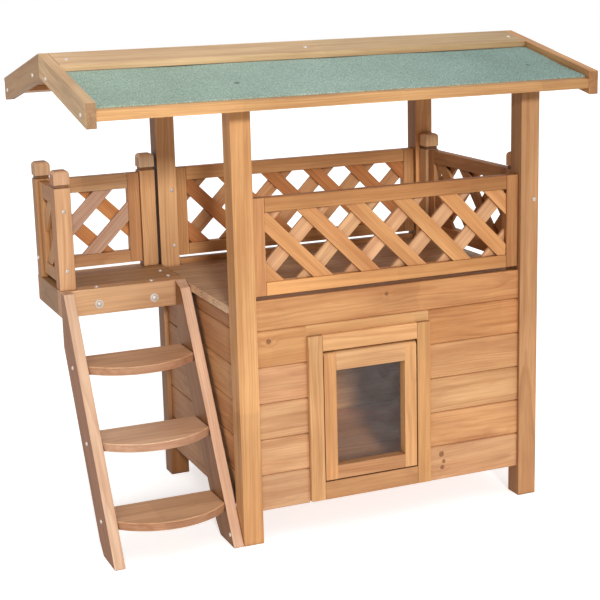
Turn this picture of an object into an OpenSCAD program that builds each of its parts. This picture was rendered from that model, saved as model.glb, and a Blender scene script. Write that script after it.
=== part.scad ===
// Outdoor cat house: a sleeping box on four corner posts, a roofed balcony with
// lattice railings above it, a landing with a ladder, and a felted gable roof.
// Millimetres. X runs along the ridge, Y from the door side to the back, Z up.

/* [House] */
// Width over the outer faces of the corner posts
house_width = 503.5; // [480:0.5:560]
// Depth over the outer faces of the corner posts
house_depth = 380; // [365:1:420]
// Side of each square corner post
post_side = 31.5; // [28:0.5:33]
// Small chamfer on the long edges of the timbers
edge_ease = 0.8; // [0.4:0.1:1.2]
// Open joint between neighbouring boards, slats and frame pieces
joint_gap = 0.2; // [0.1:0.05:0.4]

/* [Walls] */
// Height of the lower edge of the walls above the ground
wall_bottom = 48.5; // [44:0.5:60]
// Visible height of one tongue-and-groove board
board_height = 55.4; // [52:0.2:58]
// Thickness of the wall boards
board_thickness = 12; // [11:0.5:14]
// Distance from the outer face of a post back to the board faces
board_setback = 6.3; // [4:0.1:8]
// Least width of a ripped board beyond its groove
least_strip_margin = 4; // [2:0.5:8]
// Length of the tongues
tongue_length = 6; // [4:0.5:8]
// Thickness of the tongues
tongue_thickness = 4; // [3:0.5:4.5]
// Clearance round a tongue in its groove
tongue_clearance = 0.3; // [0.2:0.05:0.5]
// Bevel along each seam on the outer face
board_bevel = 1.8; // [1:0.1:2.4]
// Rise of the front and back walls above the balcony deck
wall_lip = 9.2; // [4:0.2:11]
// Thickness of the floor panel
floor_thickness = 9; // [6:0.5:12]
// Height of the floor panel above the lower edge of the walls
floor_lift = 8; // [2:0.5:14]

/* [Door] */
// Height of the lower ends of the door frame above the ground
door_frame_bottom = 52; // [46:0.5:58]
// Distance from the left face of the house to the door frame
door_frame_left = 110.5; // [98:0.5:122]
// Width of the doorway between the jambs
doorway_width = 157; // [145:1:170]
// Height of the doorway between sill and head
doorway_height = 204.5; // [190:0.5:208]
// Height of the sill
sill_height = 28.5; // [25:0.5:34]
// Width of the face of the jambs
jamb_face = 23; // [20:0.5:28]
// Height of the face of the head
head_face = 25; // [22:0.5:28]
// How far the door frame stands out from the boards
door_frame_proud = 8.5; // [7:0.1:10]
// Thickness of the door
door_thickness = 18; // [15:0.5:19]
// Width of the door stiles
door_stile_width = 20; // [18:0.5:24]
// Height of the door's top rail, with its rounded top
door_top_rail_height = 30; // [26:0.5:34]
// Height of the door's bottom rail
door_bottom_rail_height = 21.5; // [18:0.5:24]
// Gap between the left stile and its jamb
door_gap_left = 0.9; // [0.6:0.1:1.4]
// Gap between the right stile and its jamb
door_gap_right = 1.9; // [1:0.1:2.4]
// Gap above the door
door_gap_top = 1.6; // [1.2:0.1:2.4]
// Gap below the door
door_gap_bottom = 1.8; // [1.4:0.1:2.6]
// Length of the tenons of the door rails
door_tenon_length = 9; // [7:0.5:11]
// Thickness of the tenons of the door rails
door_tenon_thickness = 6; // [5:0.5:6]
// Clearance round a tenon in its mortise
tenon_clearance = 0.1; // [0.05:0.05:0.2]
// Wood left above and below a tenon
tenon_shoulder = 3; // [2:0.5:4]
// Thickness of the clear pane
pane_thickness = 1.5; // [1.2:0.1:2]
// Lap of the pane on the back of the door
pane_lap = 6; // [5:0.5:6]
// Clearance between the pane and the edge of its rebate
pane_clearance = 0.3; // [0.2:0.1:0.6]
// Diameter of the two pivot pins
pin_diameter = 4; // [3:0.5:5]
// Length of pin that is driven into a jamb
pin_in_jamb = 14; // [10:0.5:17]
// Length of pin that reaches into a stile
pin_in_stile = 7; // [5:0.5:8]
// Radial clearance of the pins in the stiles
pin_running_clearance = 0.08; // [0.05:0.01:0.1]
// Radial clearance of the pins in the jambs
pin_driven_clearance = 0.01; // [0.01:0.01:0.02]
// Gap between the end of a pin and the end of its bore in the stile
pin_end_gap = 1; // [0.5:0.1:1.5]

/* [Balcony deck] */
// Height of the top of the balcony deck above the ground
deck_top = 361.8; // [356:0.2:370]
// Thickness of the deck boards of balcony and landing
deck_thickness = 10.5; // [9:0.5:12]
// Width of the narrow first board behind the front wall
deck_first_board = 20; // [16:1:40]

/* [Railings] */
// Gap under the railings, above the balcony deck
railing_lift = 15.2; // [12:0.2:18]
// Height of the front railing panel
railing_height = 144; // [132:1:156]
// Height of the panels behind, on the right and round the landing
side_railing_height = 146.5; // [132:0.5:156]
// How much lower the panels round the landing hang
landing_railing_drop = 2.5; // [0:0.5:4]
// Thickness of the railing frames
railing_thickness = 15; // [12.5:0.5:18]
// Width of the upright pieces of the railing frames
railing_stile_width = 20; // [16:0.5:24]
// Height of the top rails of the railing frames
railing_top_height = 21.5; // [18:0.5:25]
// Height of the top rails round the landing
landing_rail_top_height = 24.5; // [18:0.5:26]
// Height of the bottom rails of the railing frames
railing_bottom_height = 19.5; // [16:0.5:23]
// Width of a lattice slat
slat_width = 22.4; // [18:0.2:25]
// Thickness of a lattice slat
slat_thickness = 5; // [4:0.5:6]
// Spacing of the lattice openings along the railing
lattice_pitch = 77.6; // [72:0.2:84]
// Distance from the left face of the house to a lattice crossing in the front panel
lattice_start = 91.5; // [80:0.5:105]
// How much further right the lattice of the back panel crosses
back_lattice_shift = 7; // [0:0.5:12]

/* [Newel posts] */
// Side of the square newel posts
newel_side = 25; // [22:0.5:27]
// Height of the newel tops above the ground
newel_top = 551; // [545:1:560]
// Height of the cap block of a newel
newel_cap_height = 22; // [18:0.5:26]
// Height of the groove below the cap
newel_groove_height = 5; // [3:0.5:7]
// Depth of the groove below the cap
newel_groove_depth = 2; // [1:0.5:3]
// Radius of the rounded top edges of the cap
newel_cap_round = 6.5; // [4:0.5:8]

/* [Landing] */
// Length of the landing, to the left of the house
landing_length = 200; // [185:1:230]
// Depth of the landing, measured from the back of the house
landing_depth = 151; // [140:1:162]
// Height of the top of the landing above the ground
landing_top = 366; // [362:0.5:372]
// Height of the fascia boards round the landing
fascia_height = 41; // [36:0.5:46]
// Thickness of the fascia boards
fascia_thickness = 22; // [18:0.5:24]
// Width of the first landing board behind the front fascia
landing_first_board = 23; // [16:0.5:40]
// Side of the joists under the landing deck
joist_side = 28; // [24:0.5:30]
// Distance from the left end of the landing to the first joist's centre line
joist_left = 59.5; // [52:0.5:66]
// Spacing of the two joists
joist_spacing = 88.6; // [80:0.2:96]
// Distance of the inner newel from the corner post
newel_inner_gap = 4; // [2:0.5:6]
// Set-back of the back newel from the left end of the landing
newel_end_setback = 0; // [0:0.5:4]
// Set-back of the front newel from the left end of the landing
newel_front_inset = 1.5; // [0:0.5:4]
// Set-back of the front newel from the face of the landing
newel_front_setback = 5; // [0:0.5:12]

/* [Ladder] */
// Set-back of the foot of the ladder from the front of the house
ladder_foot_y = 0; // [0:1:8]
// Depth of a stringer, measured level from its front to its back edge
stringer_depth = 69; // [60:1:75]
// Depth of the stringers where they meet the top of the landing
stringer_top_depth = 20; // [14:1:34]
// How far the top end of the right stringer slopes down to its front edge
stringer_top_fall = 9; // [0:1:12]
// Thickness of the stringers
stringer_thickness = 16.5; // [12:0.5:18]
// Height of the cut-off heel at the foot of a stringer
heel_height = 18; // [10:1:24]
// Length of that cut along the ground
heel_cut = 8; // [4:1:14]
// Height of the top of the lowest tread above the ground
first_tread_top = 61; // [50:0.5:66]
// Rise from tread to tread
tread_rise = 102.5; // [98:0.1:110]
// Thickness of the treads
tread_thickness = 13; // [10:0.5:15]
// How far the curved front of a tread stands out before the stringers
tread_bulge = 36; // [20:1:45]

/* [Roof] */
// Height of the ridge above the ground
ridge_height = 729; // [715:1:745]
// Slope of the roof in degrees
roof_slope = 11.5; // [9:0.1:13]
// Overhang of the roof past the left end of the landing
roof_over_left = 19.7; // [12:0.1:30]
// Overhang of the roof past the right side of the house
roof_over_right = 63.8; // [50:0.1:75]
// Overhang of the barge boards in front and behind, measured level
roof_over_front = 60; // [52:1:66]
// Upright height of the barge boards
barge_height = 35; // [32:0.5:40]
// Thickness of the barge boards
barge_thickness = 15; // [12:0.5:18]
// Set-back of the eave rails from the ends of the barge boards
eave_setback = 2; // [0:0.5:6]
// Depth of the eave rails and ridge purlins
batten_depth = 28; // [24:0.5:32]
// Thickness of the purlins and rafters
batten_thickness = 13; // [11:0.5:14]
// Upright height of the eave rails
eave_rail_height = 13.8; // [12:0.2:16]
// Strip of the eave rail that the felt leaves bare
eave_bare_strip = 11; // [6:0.5:16]
// Distance from the ridge to the purlin's centre line
purlin_distance = 41; // [34:1:50]
// Thickness of the roof sheets
sheet_thickness = 6; // [5:0.5:8]
// Thickness of the roofing felt
felt_thickness = 2.6; // [2:0.1:3.5]
// Gap between the layers of the roof
layer_gap = 0.1; // [0.05:0.05:0.3]
// Width of the ridge boards
ridge_board_width = 69; // [60:1:78]
// Thickness of the ridge boards
ridge_board_thickness = 9.5; // [8:0.5:12]

/* [Fasteners] */
// Diameter of a screw head
screw_head_diameter = 7; // [6:0.5:8]
// Height of a screw head
screw_head_height = 2.2; // [1.6:0.1:3]
// Diameter of a screw shank
screw_shank_diameter = 3.5; // [3:0.1:4]
// Length of a screw shank
screw_length = 22; // [18:1:24]
// Distance of the outer ridge screws from the ends of the roof
ridge_screw_inset = 31; // [20:1:45]
// Distance of the middle ridge screws from the left face of the house
ridge_screw_middle = 181; // [150:1:210]
// Distance of the tread screws from the front edge of a stringer
tread_screw_inset = 30; // [20:1:40]
// Height of the screw between the ladder and the front left post
ladder_screw_height = 17; // [10:1:30]
// Distance of the post screws from the inner edge of a post
post_screw_inset = 8; // [6:0.5:14]
// Distance of the upper post screws below the top rail of a railing
post_screw_drop = 11; // [6:1:20]
// How much lower the screw in the front right post sits
front_screw_lower = 7; // [0:1:12]
// Distance of the ledger's deck screws from the house
ledger_screw_inset = 17; // [10:1:22]
// Diameter of the washer under a landing bolt's head
bolt_washer_diameter = 14; // [12:0.5:16]
// Thickness of that washer
bolt_washer_thickness = 1.4; // [1:0.1:2]
// Diameter of a landing bolt's head
bolt_head_diameter = 9; // [8:0.5:11]
// Height of a landing bolt's head
bolt_head_height = 3.6; // [2.5:0.1:5]
// Diameter of a landing bolt's shank
bolt_shank_diameter = 5; // [4:0.5:6]
// Length of a landing bolt's shank
bolt_length = 50; // [40:1:56]
// Radial clearance of screws and bolts in their holes
fastener_clearance = 0.05; // [0.03:0.01:0.1]

/* [Hidden] */
$fn = 48;

golden = "#d9a066";
honey = "#c98f56";
brown = "#a5703f";
pale = "#e8bd8c";
felt_green = "#7f9f90";

// The working frame has its origin at the outer corner of the front left post, on the
// ground
post_inner_right = house_width - post_side;
post_inner_back = house_depth - post_side;
roof_left = -landing_length - roof_over_left;
roof_right = house_width + roof_over_right;
frame_origin_x = (roof_left + roof_right) / 2;
ridge_y = house_depth / 2;
eave_y = -roof_over_front;

// Walls
deck_bottom = deck_top - deck_thickness;
front_wall_height = deck_top + wall_lip - wall_bottom;
side_wall_height = deck_bottom - wall_bottom;
board_inner = board_setback + board_thickness;
groove_depth = tongue_length + tongue_clearance;
least_strip = groove_depth + least_strip_margin;
deck_bevel = board_bevel / 2;
floor_bottom = wall_bottom + floor_lift;

// Door frame and door
frame_front = board_setback - door_frame_proud;
frame_depth = door_frame_proud + board_thickness;
doorway_left = door_frame_left + jamb_face;
doorway_right = doorway_left + doorway_width;
door_frame_right = doorway_right + jamb_face;
doorway_bottom = door_frame_bottom + sill_height;
doorway_top = doorway_bottom + doorway_height;
door_frame_top = doorway_top + head_face;
door_left = doorway_left + door_gap_left;
door_right = doorway_right - door_gap_right;
door_bottom = doorway_bottom + door_gap_bottom;
door_top = doorway_top - door_gap_top;
door_y = frame_front + door_thickness / 2;
pivot_z = door_top - door_thickness / 2;
glass_left = door_left + door_stile_width;
glass_right = door_right - door_stile_width;
glass_bottom = door_bottom + door_bottom_rail_height;
glass_top = door_top - door_top_rail_height;
door_back = frame_front + door_thickness;
pin_radius = pin_diameter / 2;
top_tenon_low = glass_top + tenon_shoulder;
top_tenon_high = pivot_z - pin_radius - tenon_shoulder;
bottom_tenon_low = door_bottom + tenon_shoulder;
bottom_tenon_high = glass_bottom - tenon_shoulder;
cut_rows = floor((door_frame_top - wall_bottom) / board_height);

// Railings
railing_bottom = deck_top + railing_lift;
railing_top = railing_bottom + railing_height;
front_opening_top = railing_height - railing_top_height;
side_opening_top = side_railing_height - railing_top_height;
landing_opening_top = side_railing_height - landing_rail_top_height;
landing_panel_z = railing_bottom - landing_railing_drop;
back_lattice_start = lattice_start + back_lattice_shift;
front_railing_y = (post_side - railing_thickness) / 2;
railing_newel_inset = (newel_side - railing_thickness) / 2;

// Landing
landing_front = house_depth - landing_depth;
fascia_bottom = landing_top - fascia_height;
landing_deck_front = landing_front + fascia_thickness;
landing_deck_back = house_depth - fascia_thickness;
joist_top = landing_top - deck_thickness;
newel_inner_x = -newel_inner_gap - newel_side;
newel_outer_x = -landing_length + newel_end_setback;
newel_front_x = -landing_length + newel_front_inset;
newel_row_y = house_depth - (post_side + newel_side) / 2;
newel_front_y = landing_front + newel_front_setback;
newel_right_x = house_width - newel_side;
long_panel = post_inner_right - post_side;
right_panel = post_inner_back - post_side - 2 * newel_side;
landing_back_panel = newel_inner_x - newel_outer_x - newel_side;
landing_side_panel = newel_row_y - newel_front_y - newel_side;
bolt_z = joist_top - joist_side / 2;
joist_x = [-landing_length + joist_left, -landing_length + joist_left + joist_spacing];

// Ladder: the front edge of a stringer is a straight line from foot to landing
ladder_reach = landing_front - ladder_foot_y;
stringer_lean = (ladder_reach - stringer_top_depth) / landing_top;
tread_length = landing_length - 2 * stringer_thickness;

// Roof: the top of every layer is measured down from the plane of the barge tops
slope_rise = tan(roof_slope);
plumb = 1 / cos(roof_slope);
felt_drop = ridge_board_thickness * plumb + layer_gap;
sheet_drop = felt_drop + felt_thickness * plumb + layer_gap;
batten_drop = sheet_drop + sheet_thickness * plumb + layer_gap;
post_drop = batten_drop + batten_thickness * plumb + layer_gap;
eave_front = eave_y + eave_setback;
eave_inner = eave_front + batten_depth;
purlin_outer = ridge_y - purlin_distance - batten_depth / 2;
purlin_inner = ridge_y - purlin_distance + batten_depth / 2;
barge_inner_left = roof_left + barge_thickness;
roof_inner_length = roof_right - roof_left - 2 * barge_thickness;
sheet_front = (eave_front + eave_inner) / 2;

// Fasteners
ridge_screw_x = [roof_left + ridge_screw_inset, ridge_screw_middle,
    roof_right - ridge_screw_inset];

function centred(length) = (length - lattice_pitch) / 2;
function slope_top(y) = ridge_height - abs(ridge_y - y) * slope_rise;
function stringer_front(z) = ladder_foot_y + z * stringer_lean;
function tread_top(count) = first_tread_top + (count - 1) * tread_rise;

// Moves the working frame so that the middle of the whole outline is the origin
module placed() {
    translate([-frame_origin_x, -ridge_y, 0]) children();
}

// Plain block between two corners
module block(low, high) {
    translate(low) cube(high - low);
}

// Rectangle with small chamfers on its corners
module eased_rectangle(width, depth) {
    e = edge_ease;
    polygon([[e, 0], [width - e, 0], [width, e], [width, depth - e],
        [width - e, depth], [e, depth], [0, depth - e], [0, e]]);
}

// Upright timber, its lower left front corner at the origin
module upright(width, depth, height) {
    linear_extrude(height) eased_rectangle(width, depth);
}

// Level timber along X, its lower left front corner at the origin
module level(length, depth, height) {
    rotate([90, 0, 90]) linear_extrude(length) eased_rectangle(depth, height);
}

// Prism along X from an outline drawn in Y and Z
module along_x(start, length) {
    translate([start, 0, 0]) rotate([90, 0, 90]) linear_extrude(length) children();
}

// Mirrors a piece of the front half of the house to the back half
module at_back() {
    translate([0, 2 * ridge_y, 0]) mirror([0, 1, 0]) children();
}

// Mirrors a piece of the left side of the house to the right side
module at_right() {
    translate([house_width, 0, 0]) mirror([1, 0, 0]) children();
}

// Cross-section of a tongue-and-groove board: outer face at x = 0, tongue at the top,
// groove at the bottom, and a bevel on each seam of the outer face
module board_profile(thickness, height, bevel, grooved, tongued) {
    middle = thickness / 2;
    slot = tongue_thickness / 2 + tongue_clearance;
    top_bevel = tongued ? bevel : 0;
    difference() {
        union() {
            polygon([[bevel, 0], [thickness, 0], [thickness, height], [top_bevel, height],
                [0, height - top_bevel], [0, bevel]]);
            if (tongued)
                translate([middle - tongue_thickness / 2, height])
                    square([tongue_thickness, tongue_length]);
        }
        if (grooved)
            translate([middle - slot, -1]) square([2 * slot, groove_depth + 1]);
    }
}

// Number of rows that fill a height, when the last one may be ripped to a strip
function row_count(height) = ceil((height - least_strip) / board_height);

// Rows of boards along X from the origin, outer faces at y = 0; the top row is ripped
module boarding(length, height, first_row, last_row) {
    top_row = row_count(height) - 1;
    for (row = [first_row : last_row]) {
        low = row * board_height;
        rest = row == top_row ? height - low : board_height - joint_gap;
        translate([0, 0, low]) along_x(0, length)
            board_profile(board_thickness, rest, board_bevel, true, row < top_row);
    }
}

// Flat rows of boards along X, tops at a given height, the first one ripped
module decking(x, length, front, back, top, first_board) {
    rows = row_count(back - front - first_board);
    for (row = [0 : rows]) {
        low = row == 0 ? front : front + first_board + (row - 1) * board_height;
        high = row == rows ? back : front + first_board + row * board_height - joint_gap;
        along_x(x, length) translate([low, top]) rotate(-90)
            board_profile(deck_thickness, high - low, deck_bevel, row > 0, row < rows);
    }
}

// Corner post at the front left, cut off to the slope of the rafters
module corner_post() {
    intersection() {
        upright(post_side, post_side, ridge_height);
        along_x(-1, post_side + 2)
            polygon([[-1, 0], [ridge_y, 0], [ridge_y, slope_top(ridge_y) - post_drop],
                [-1, slope_top(-1) - post_drop]]);
    }
}

module post_front_left() { color(golden) placed() drilled() corner_post(); }
module post_front_right() { color(golden) placed() drilled() at_right() corner_post(); }
module post_back_left() { color(honey) placed() drilled() at_back() corner_post(); }
module post_back_right() { color(honey) placed() drilled() at_back() at_right() corner_post(); }

// Boards of the front wall beside the door frame
module front_boards_left() {
    color(golden) placed()
        translate([post_side, board_setback, wall_bottom])
            boarding(door_frame_left - post_side, front_wall_height, 0, cut_rows - 1);
}

module front_boards_right() {
    color(golden) placed()
        translate([door_frame_right, board_setback, wall_bottom])
            boarding(post_inner_right - door_frame_right, front_wall_height, 0, cut_rows - 1);
}

// Boards of the front wall above the doorway, the lowest one notched over the frame
module front_boards_top() {
    color(golden) placed() difference() {
        translate([post_side, board_setback, wall_bottom])
            boarding(post_inner_right - post_side, front_wall_height, cut_rows,
                row_count(front_wall_height) - 1);
        block([door_frame_left, 0, wall_bottom], [door_frame_right, ridge_y, door_frame_top]);
    }
}

// Side wall under the ends of the deck boards
module side_wall() {
    translate([board_setback, post_inner_back, wall_bottom]) rotate([0, 0, -90])
        boarding(post_inner_back - post_side, side_wall_height, 0,
            row_count(side_wall_height) - 1);
}

module left_wall_boards() { color(brown) placed() side_wall(); }
module right_wall_boards() { color(brown) placed() at_right() side_wall(); }

module back_wall_boards() {
    color(brown) placed() at_back() translate([post_side, board_setback, wall_bottom])
        boarding(post_inner_right - post_side, front_wall_height, 0,
            row_count(front_wall_height) - 1);
}

// Squares of the four corner posts, to notch panels round them
module post_corners(low, high) {
    for (x = [0, post_inner_right])
        for (y = [0, post_inner_back])
            block([x, y, low], [x + post_side, y + post_side, high]);
}

module floor_panel() {
    color(brown) placed() difference() {
        block([board_inner, board_inner, floor_bottom],
            [house_width - board_inner, house_depth - board_inner, floor_bottom + floor_thickness]);
        post_corners(0, ridge_height);
    }
}

// Door frame: jambs run past head and sill
module jamb(x) {
    translate([x, frame_front, door_frame_bottom])
        upright(jamb_face, frame_depth, door_frame_top - door_frame_bottom);
}

// Pivot pin hole along X
module pin_hole(x, length, clearance) {
    translate([x, door_y, pivot_z]) rotate([0, 90, 0])
        cylinder(r = pin_radius + clearance, h = length);
}

module door_jamb_left() {
    color(golden) placed() difference() {
        jamb(door_frame_left);
        pin_hole(doorway_left - pin_in_jamb, pin_in_jamb + 1, pin_driven_clearance);
    }
}

module door_jamb_right() {
    color(golden) placed() difference() {
        jamb(doorway_right);
        pin_hole(doorway_right - 1, pin_in_jamb + 1, pin_driven_clearance);
    }
}

module door_head() {
    color(golden) placed() translate([doorway_left, frame_front, doorway_top])
        level(doorway_width, frame_depth, head_face);
}

module door_sill() {
    color(golden) placed() translate([doorway_left, frame_front, door_frame_bottom])
        level(doorway_width, frame_depth, sill_height);
}

// Outline of the door seen from its edge, the top rounded about the pivot
module door_edge_outline(low) {
    translate([frame_front, low]) square([door_thickness, pivot_z - low]);
    translate([door_y, pivot_z]) circle(d = door_thickness);
}

// Rebate for the pane in the back of the door
module pane_rebate() {
    lap = pane_lap + pane_clearance;
    block([glass_left - lap, door_back - pane_thickness, glass_bottom - lap],
        [glass_right + lap, door_back + 1, glass_top + lap]);
}

// Tenon of a door rail, grown by a clearance for its mortise
module door_tenon(x, direction, low, high, clearance) {
    reach = door_tenon_length + clearance;
    half = door_tenon_thickness / 2 + clearance;
    block([direction > 0 ? x : x - reach, door_y - half, low - clearance],
        [direction > 0 ? x + reach : x, door_y + half, high + clearance]);
}

module door_mortises(x, direction) {
    door_tenon(x, direction, top_tenon_low, top_tenon_high, tenon_clearance);
    door_tenon(x, direction, bottom_tenon_low, bottom_tenon_high, tenon_clearance);
}

module door_stile_left() {
    color(golden) placed() difference() {
        along_x(door_left, door_stile_width) door_edge_outline(door_bottom);
        door_mortises(glass_left, -1);
        pane_rebate();
        pin_hole(door_left - 1, 1 + pin_in_stile + pin_end_gap, pin_running_clearance);
    }
}

module door_stile_right() {
    color(golden) placed() difference() {
        along_x(glass_right, door_stile_width) door_edge_outline(door_bottom);
        door_mortises(glass_right, 1);
        pane_rebate();
        pin_hole(door_right - pin_in_stile - pin_end_gap, pin_in_stile + pin_end_gap + 1,
            pin_running_clearance);
    }
}

module door_top_rail() {
    color(golden) placed() {
        difference() {
            along_x(glass_left, glass_right - glass_left) door_edge_outline(glass_top);
            pane_rebate();
        }
        door_tenon(glass_left, -1, top_tenon_low, top_tenon_high, 0);
        door_tenon(glass_right, 1, top_tenon_low, top_tenon_high, 0);
    }
}

module door_bottom_rail() {
    color(golden) placed() {
        difference() {
            block([glass_left, frame_front, door_bottom], [glass_right, door_back, glass_bottom]);
            pane_rebate();
        }
        door_tenon(glass_left, -1, bottom_tenon_low, bottom_tenon_high, 0);
        door_tenon(glass_right, 1, bottom_tenon_low, bottom_tenon_high, 0);
    }
}

module door_pane() {
    color("lightblue", 0.4) placed()
        block([glass_left - pane_lap, door_back - pane_thickness, glass_bottom - pane_lap],
            [glass_right + pane_lap, door_back, glass_top + pane_lap]);
}

// Steel pins on the door's pivot line, driven into the jambs
module door_pivot_pins() {
    color("silver") placed() {
        translate([doorway_left - pin_in_jamb, door_y, pivot_z]) rotate([0, 90, 0])
            cylinder(r = pin_radius, h = pin_in_jamb + door_gap_left + pin_in_stile);
        translate([door_right - pin_in_stile, door_y, pivot_z]) rotate([0, 90, 0])
            cylinder(r = pin_radius, h = pin_in_jamb + door_gap_right + pin_in_stile);
    }
}

module balcony_deck() {
    color(brown) placed() difference() {
        decking(0, house_width, board_inner, house_depth - board_inner, deck_top,
            deck_first_board);
        post_corners(0, ridge_height);
    }
}

// Frame of a railing panel along X: outer face at y = 0, lower edge at z = 0
module railing_frame(length, height, top_height) {
    for (x = [0, length - railing_stile_width])
        translate([x, 0, 0]) upright(railing_stile_width, railing_thickness, height);
    between = length - 2 * (railing_stile_width + joint_gap);
    translate([railing_stile_width + joint_gap, 0, 0])
        level(between, railing_thickness, railing_bottom_height);
    translate([railing_stile_width + joint_gap, 0, height - top_height])
        level(between, railing_thickness, top_height);
}

// One layer of parallel slats at an angle, cut off by the top of the opening at a height
module slat_layer(length, high, start, angle) {
    low = railing_bottom_height;
    reach = (high - low) / 2;
    first = ceil((railing_stile_width - reach - start) / lattice_pitch);
    last = floor((length - railing_stile_width + reach - start) / lattice_pitch);
    for (count = [first : last])
        rotate([90, 0, 0]) linear_extrude(slat_thickness) intersection() {
            translate([railing_stile_width, low])
                square([length - 2 * railing_stile_width, high - low]);
            translate([start + count * lattice_pitch, (low + high) / 2]) rotate(angle)
                square([4 * reach, slat_width], center = true);
        }
}

// Two crossed layers of slats; start is the place of one crossing along the panel
module lattice(length, high, start, outer_angle) {
    middle = railing_thickness / 2;
    translate([0, middle - joint_gap / 2, 0]) slat_layer(length, high, start, outer_angle);
    translate([0, middle + joint_gap / 2 + slat_thickness, 0])
        slat_layer(length, high, start, -outer_angle);
}

// Places of the railing panels; the outer face of each looks away from the balcony
module at_front_railing() {
    translate([post_side, front_railing_y, railing_bottom]) children();
}

module at_back_railing() {
    translate([post_inner_right, house_depth - front_railing_y, railing_bottom])
        rotate([0, 0, 180]) children();
}

module at_right_railing() {
    translate([house_width - railing_newel_inset, post_side + newel_side, railing_bottom])
        rotate([0, 0, 90]) children();
}

module at_landing_back() {
    translate([newel_inner_x, newel_row_y + newel_side - railing_newel_inset, landing_panel_z])
        rotate([0, 0, 180]) children();
}

module at_landing_side() {
    translate([newel_outer_x + railing_newel_inset, newel_row_y, landing_panel_z])
        rotate([0, 0, -90]) children();
}

module front_railing_frame() {
    color(golden) placed() at_front_railing()
        railing_frame(long_panel, railing_height, railing_top_height);
}

module front_railing_lattice() {
    color(pale) placed() at_front_railing()
        lattice(long_panel, front_opening_top, lattice_start - post_side, -45);
}

module back_railing_frame() {
    color(honey) placed() at_back_railing()
        railing_frame(long_panel, side_railing_height, railing_top_height);
}

module back_railing_lattice() {
    color(brown) placed() at_back_railing()
        lattice(long_panel, side_opening_top, post_inner_right - back_lattice_start, -45);
}

module right_railing_frame() {
    color(honey) placed() at_right_railing()
        railing_frame(right_panel, side_railing_height, railing_top_height);
}

module right_railing_lattice() {
    color(brown) placed() at_right_railing()
        lattice(right_panel, side_opening_top, centred(right_panel), -45);
}

module landing_back_frame() {
    color(honey) placed() at_landing_back()
        railing_frame(landing_back_panel, side_railing_height, landing_rail_top_height);
}

module landing_back_lattice() {
    color(pale) placed() at_landing_back()
        lattice(landing_back_panel, landing_opening_top, centred(landing_back_panel), 45);
}

module landing_side_frame() {
    color(honey) placed() at_landing_side()
        railing_frame(landing_side_panel, side_railing_height, landing_rail_top_height);
}

module landing_side_lattice() {
    color(honey) placed() at_landing_side()
        lattice(landing_side_panel, landing_opening_top, centred(landing_side_panel), -45);
}

// Silhouette of a newel: shaft, groove, and cap with rounded shoulders
module newel_outline(height) {
    cap_low = height - newel_cap_height;
    groove_low = cap_low - newel_groove_height;
    r = newel_cap_round;
    square([newel_side, groove_low]);
    translate([newel_groove_depth, groove_low - 1])
        square([newel_side - 2 * newel_groove_depth, newel_groove_height + 2]);
    translate([0, cap_low]) square([newel_side, newel_cap_height - r]);
    translate([r, cap_low]) square([newel_side - 2 * r, newel_cap_height]);
    for (x = [r, newel_side - r])
        translate([x, height - r]) circle(r = r);
}

// Newel post with its lower left front corner at the origin, the same on all four faces
module newel(height) {
    intersection() {
        translate([0, newel_side, 0]) rotate([90, 0, 0])
            linear_extrude(newel_side) newel_outline(height);
        along_x(0, newel_side) newel_outline(height);
    }
}

module newel_right_front() {
    color(honey) placed() translate([newel_right_x, post_side, deck_top])
        newel(newel_top - deck_top);
}

module newel_right_back() {
    color(honey) placed() translate([newel_right_x, post_inner_back - newel_side, deck_top])
        newel(newel_top - deck_top);
}

module newel_landing_inner() {
    color(honey) placed() translate([newel_inner_x, newel_row_y, landing_top])
        newel(newel_top - landing_top);
}

module newel_landing_back() {
    color(honey) placed() drilled() translate([newel_outer_x, newel_row_y, landing_top])
        newel(newel_top - landing_top);
}

module newel_landing_front() {
    color(golden) placed() drilled() translate([newel_front_x, newel_front_y, landing_top])
        newel(newel_top - landing_top);
}

module landing_deck() {
    color(brown) placed() drilled()
        decking(-landing_length + fascia_thickness, landing_length - fascia_thickness,
            landing_deck_front, landing_deck_back, landing_top, landing_first_board);
}

// Hole for a landing bolt's shank
module bolt_holes() {
    for (x = joist_x)
        translate([x, landing_front - 1, bolt_z]) rotate([-90, 0, 0])
            cylinder(d = bolt_shank_diameter + 2 * fastener_clearance, h = bolt_length + 2);
}

// Two joists held by the bolts, and the ledger along the house
module landing_joists() {
    color(brown) placed() difference() {
        for (x = concat(joist_x, [-joist_side / 2]))
            translate([x - joist_side / 2, landing_deck_front, joist_top - joist_side])
                block([0, 0, 0], [joist_side, landing_deck_back - landing_deck_front, joist_side]);
        bolt_holes();
        at_screws() screw_hole();
    }
}

module landing_fascia_front() {
    color(golden) placed() drilled() difference() {
        translate([-landing_length, landing_front, fascia_bottom])
            level(landing_length, fascia_thickness, fascia_height);
        bolt_holes();
    }
}

module landing_fascia_left() {
    color(brown) placed()
        block([-landing_length, landing_deck_front, fascia_bottom],
            [-landing_length + fascia_thickness, landing_deck_back, landing_top]);
}

module landing_fascia_back() {
    color(brown) placed() translate([-landing_length, landing_deck_back, fascia_bottom])
        level(landing_length, fascia_thickness, fascia_height);
}

// Ladder side: sloping edges, level foot with a cut heel, plumb cut against the fascia;
// its top end falls towards the front edge
module stringer(x, top_fall) {
    along_x(x, stringer_thickness)
        polygon([[ladder_foot_y, 0],
            [ladder_foot_y + stringer_depth - heel_cut, 0],
            [stringer_front(heel_height) + stringer_depth, heel_height],
            [landing_front, (ladder_reach - stringer_depth) / stringer_lean],
            [landing_front, landing_top],
            [stringer_front(landing_top - top_fall), landing_top - top_fall]]);
}

module ladder_stringer_left() {
    color(pale) placed() drilled() stringer(-landing_length, 0);
}

module ladder_stringer_right() {
    color(pale) placed() drilled() stringer(-stringer_thickness, stringer_top_fall);
}

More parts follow.
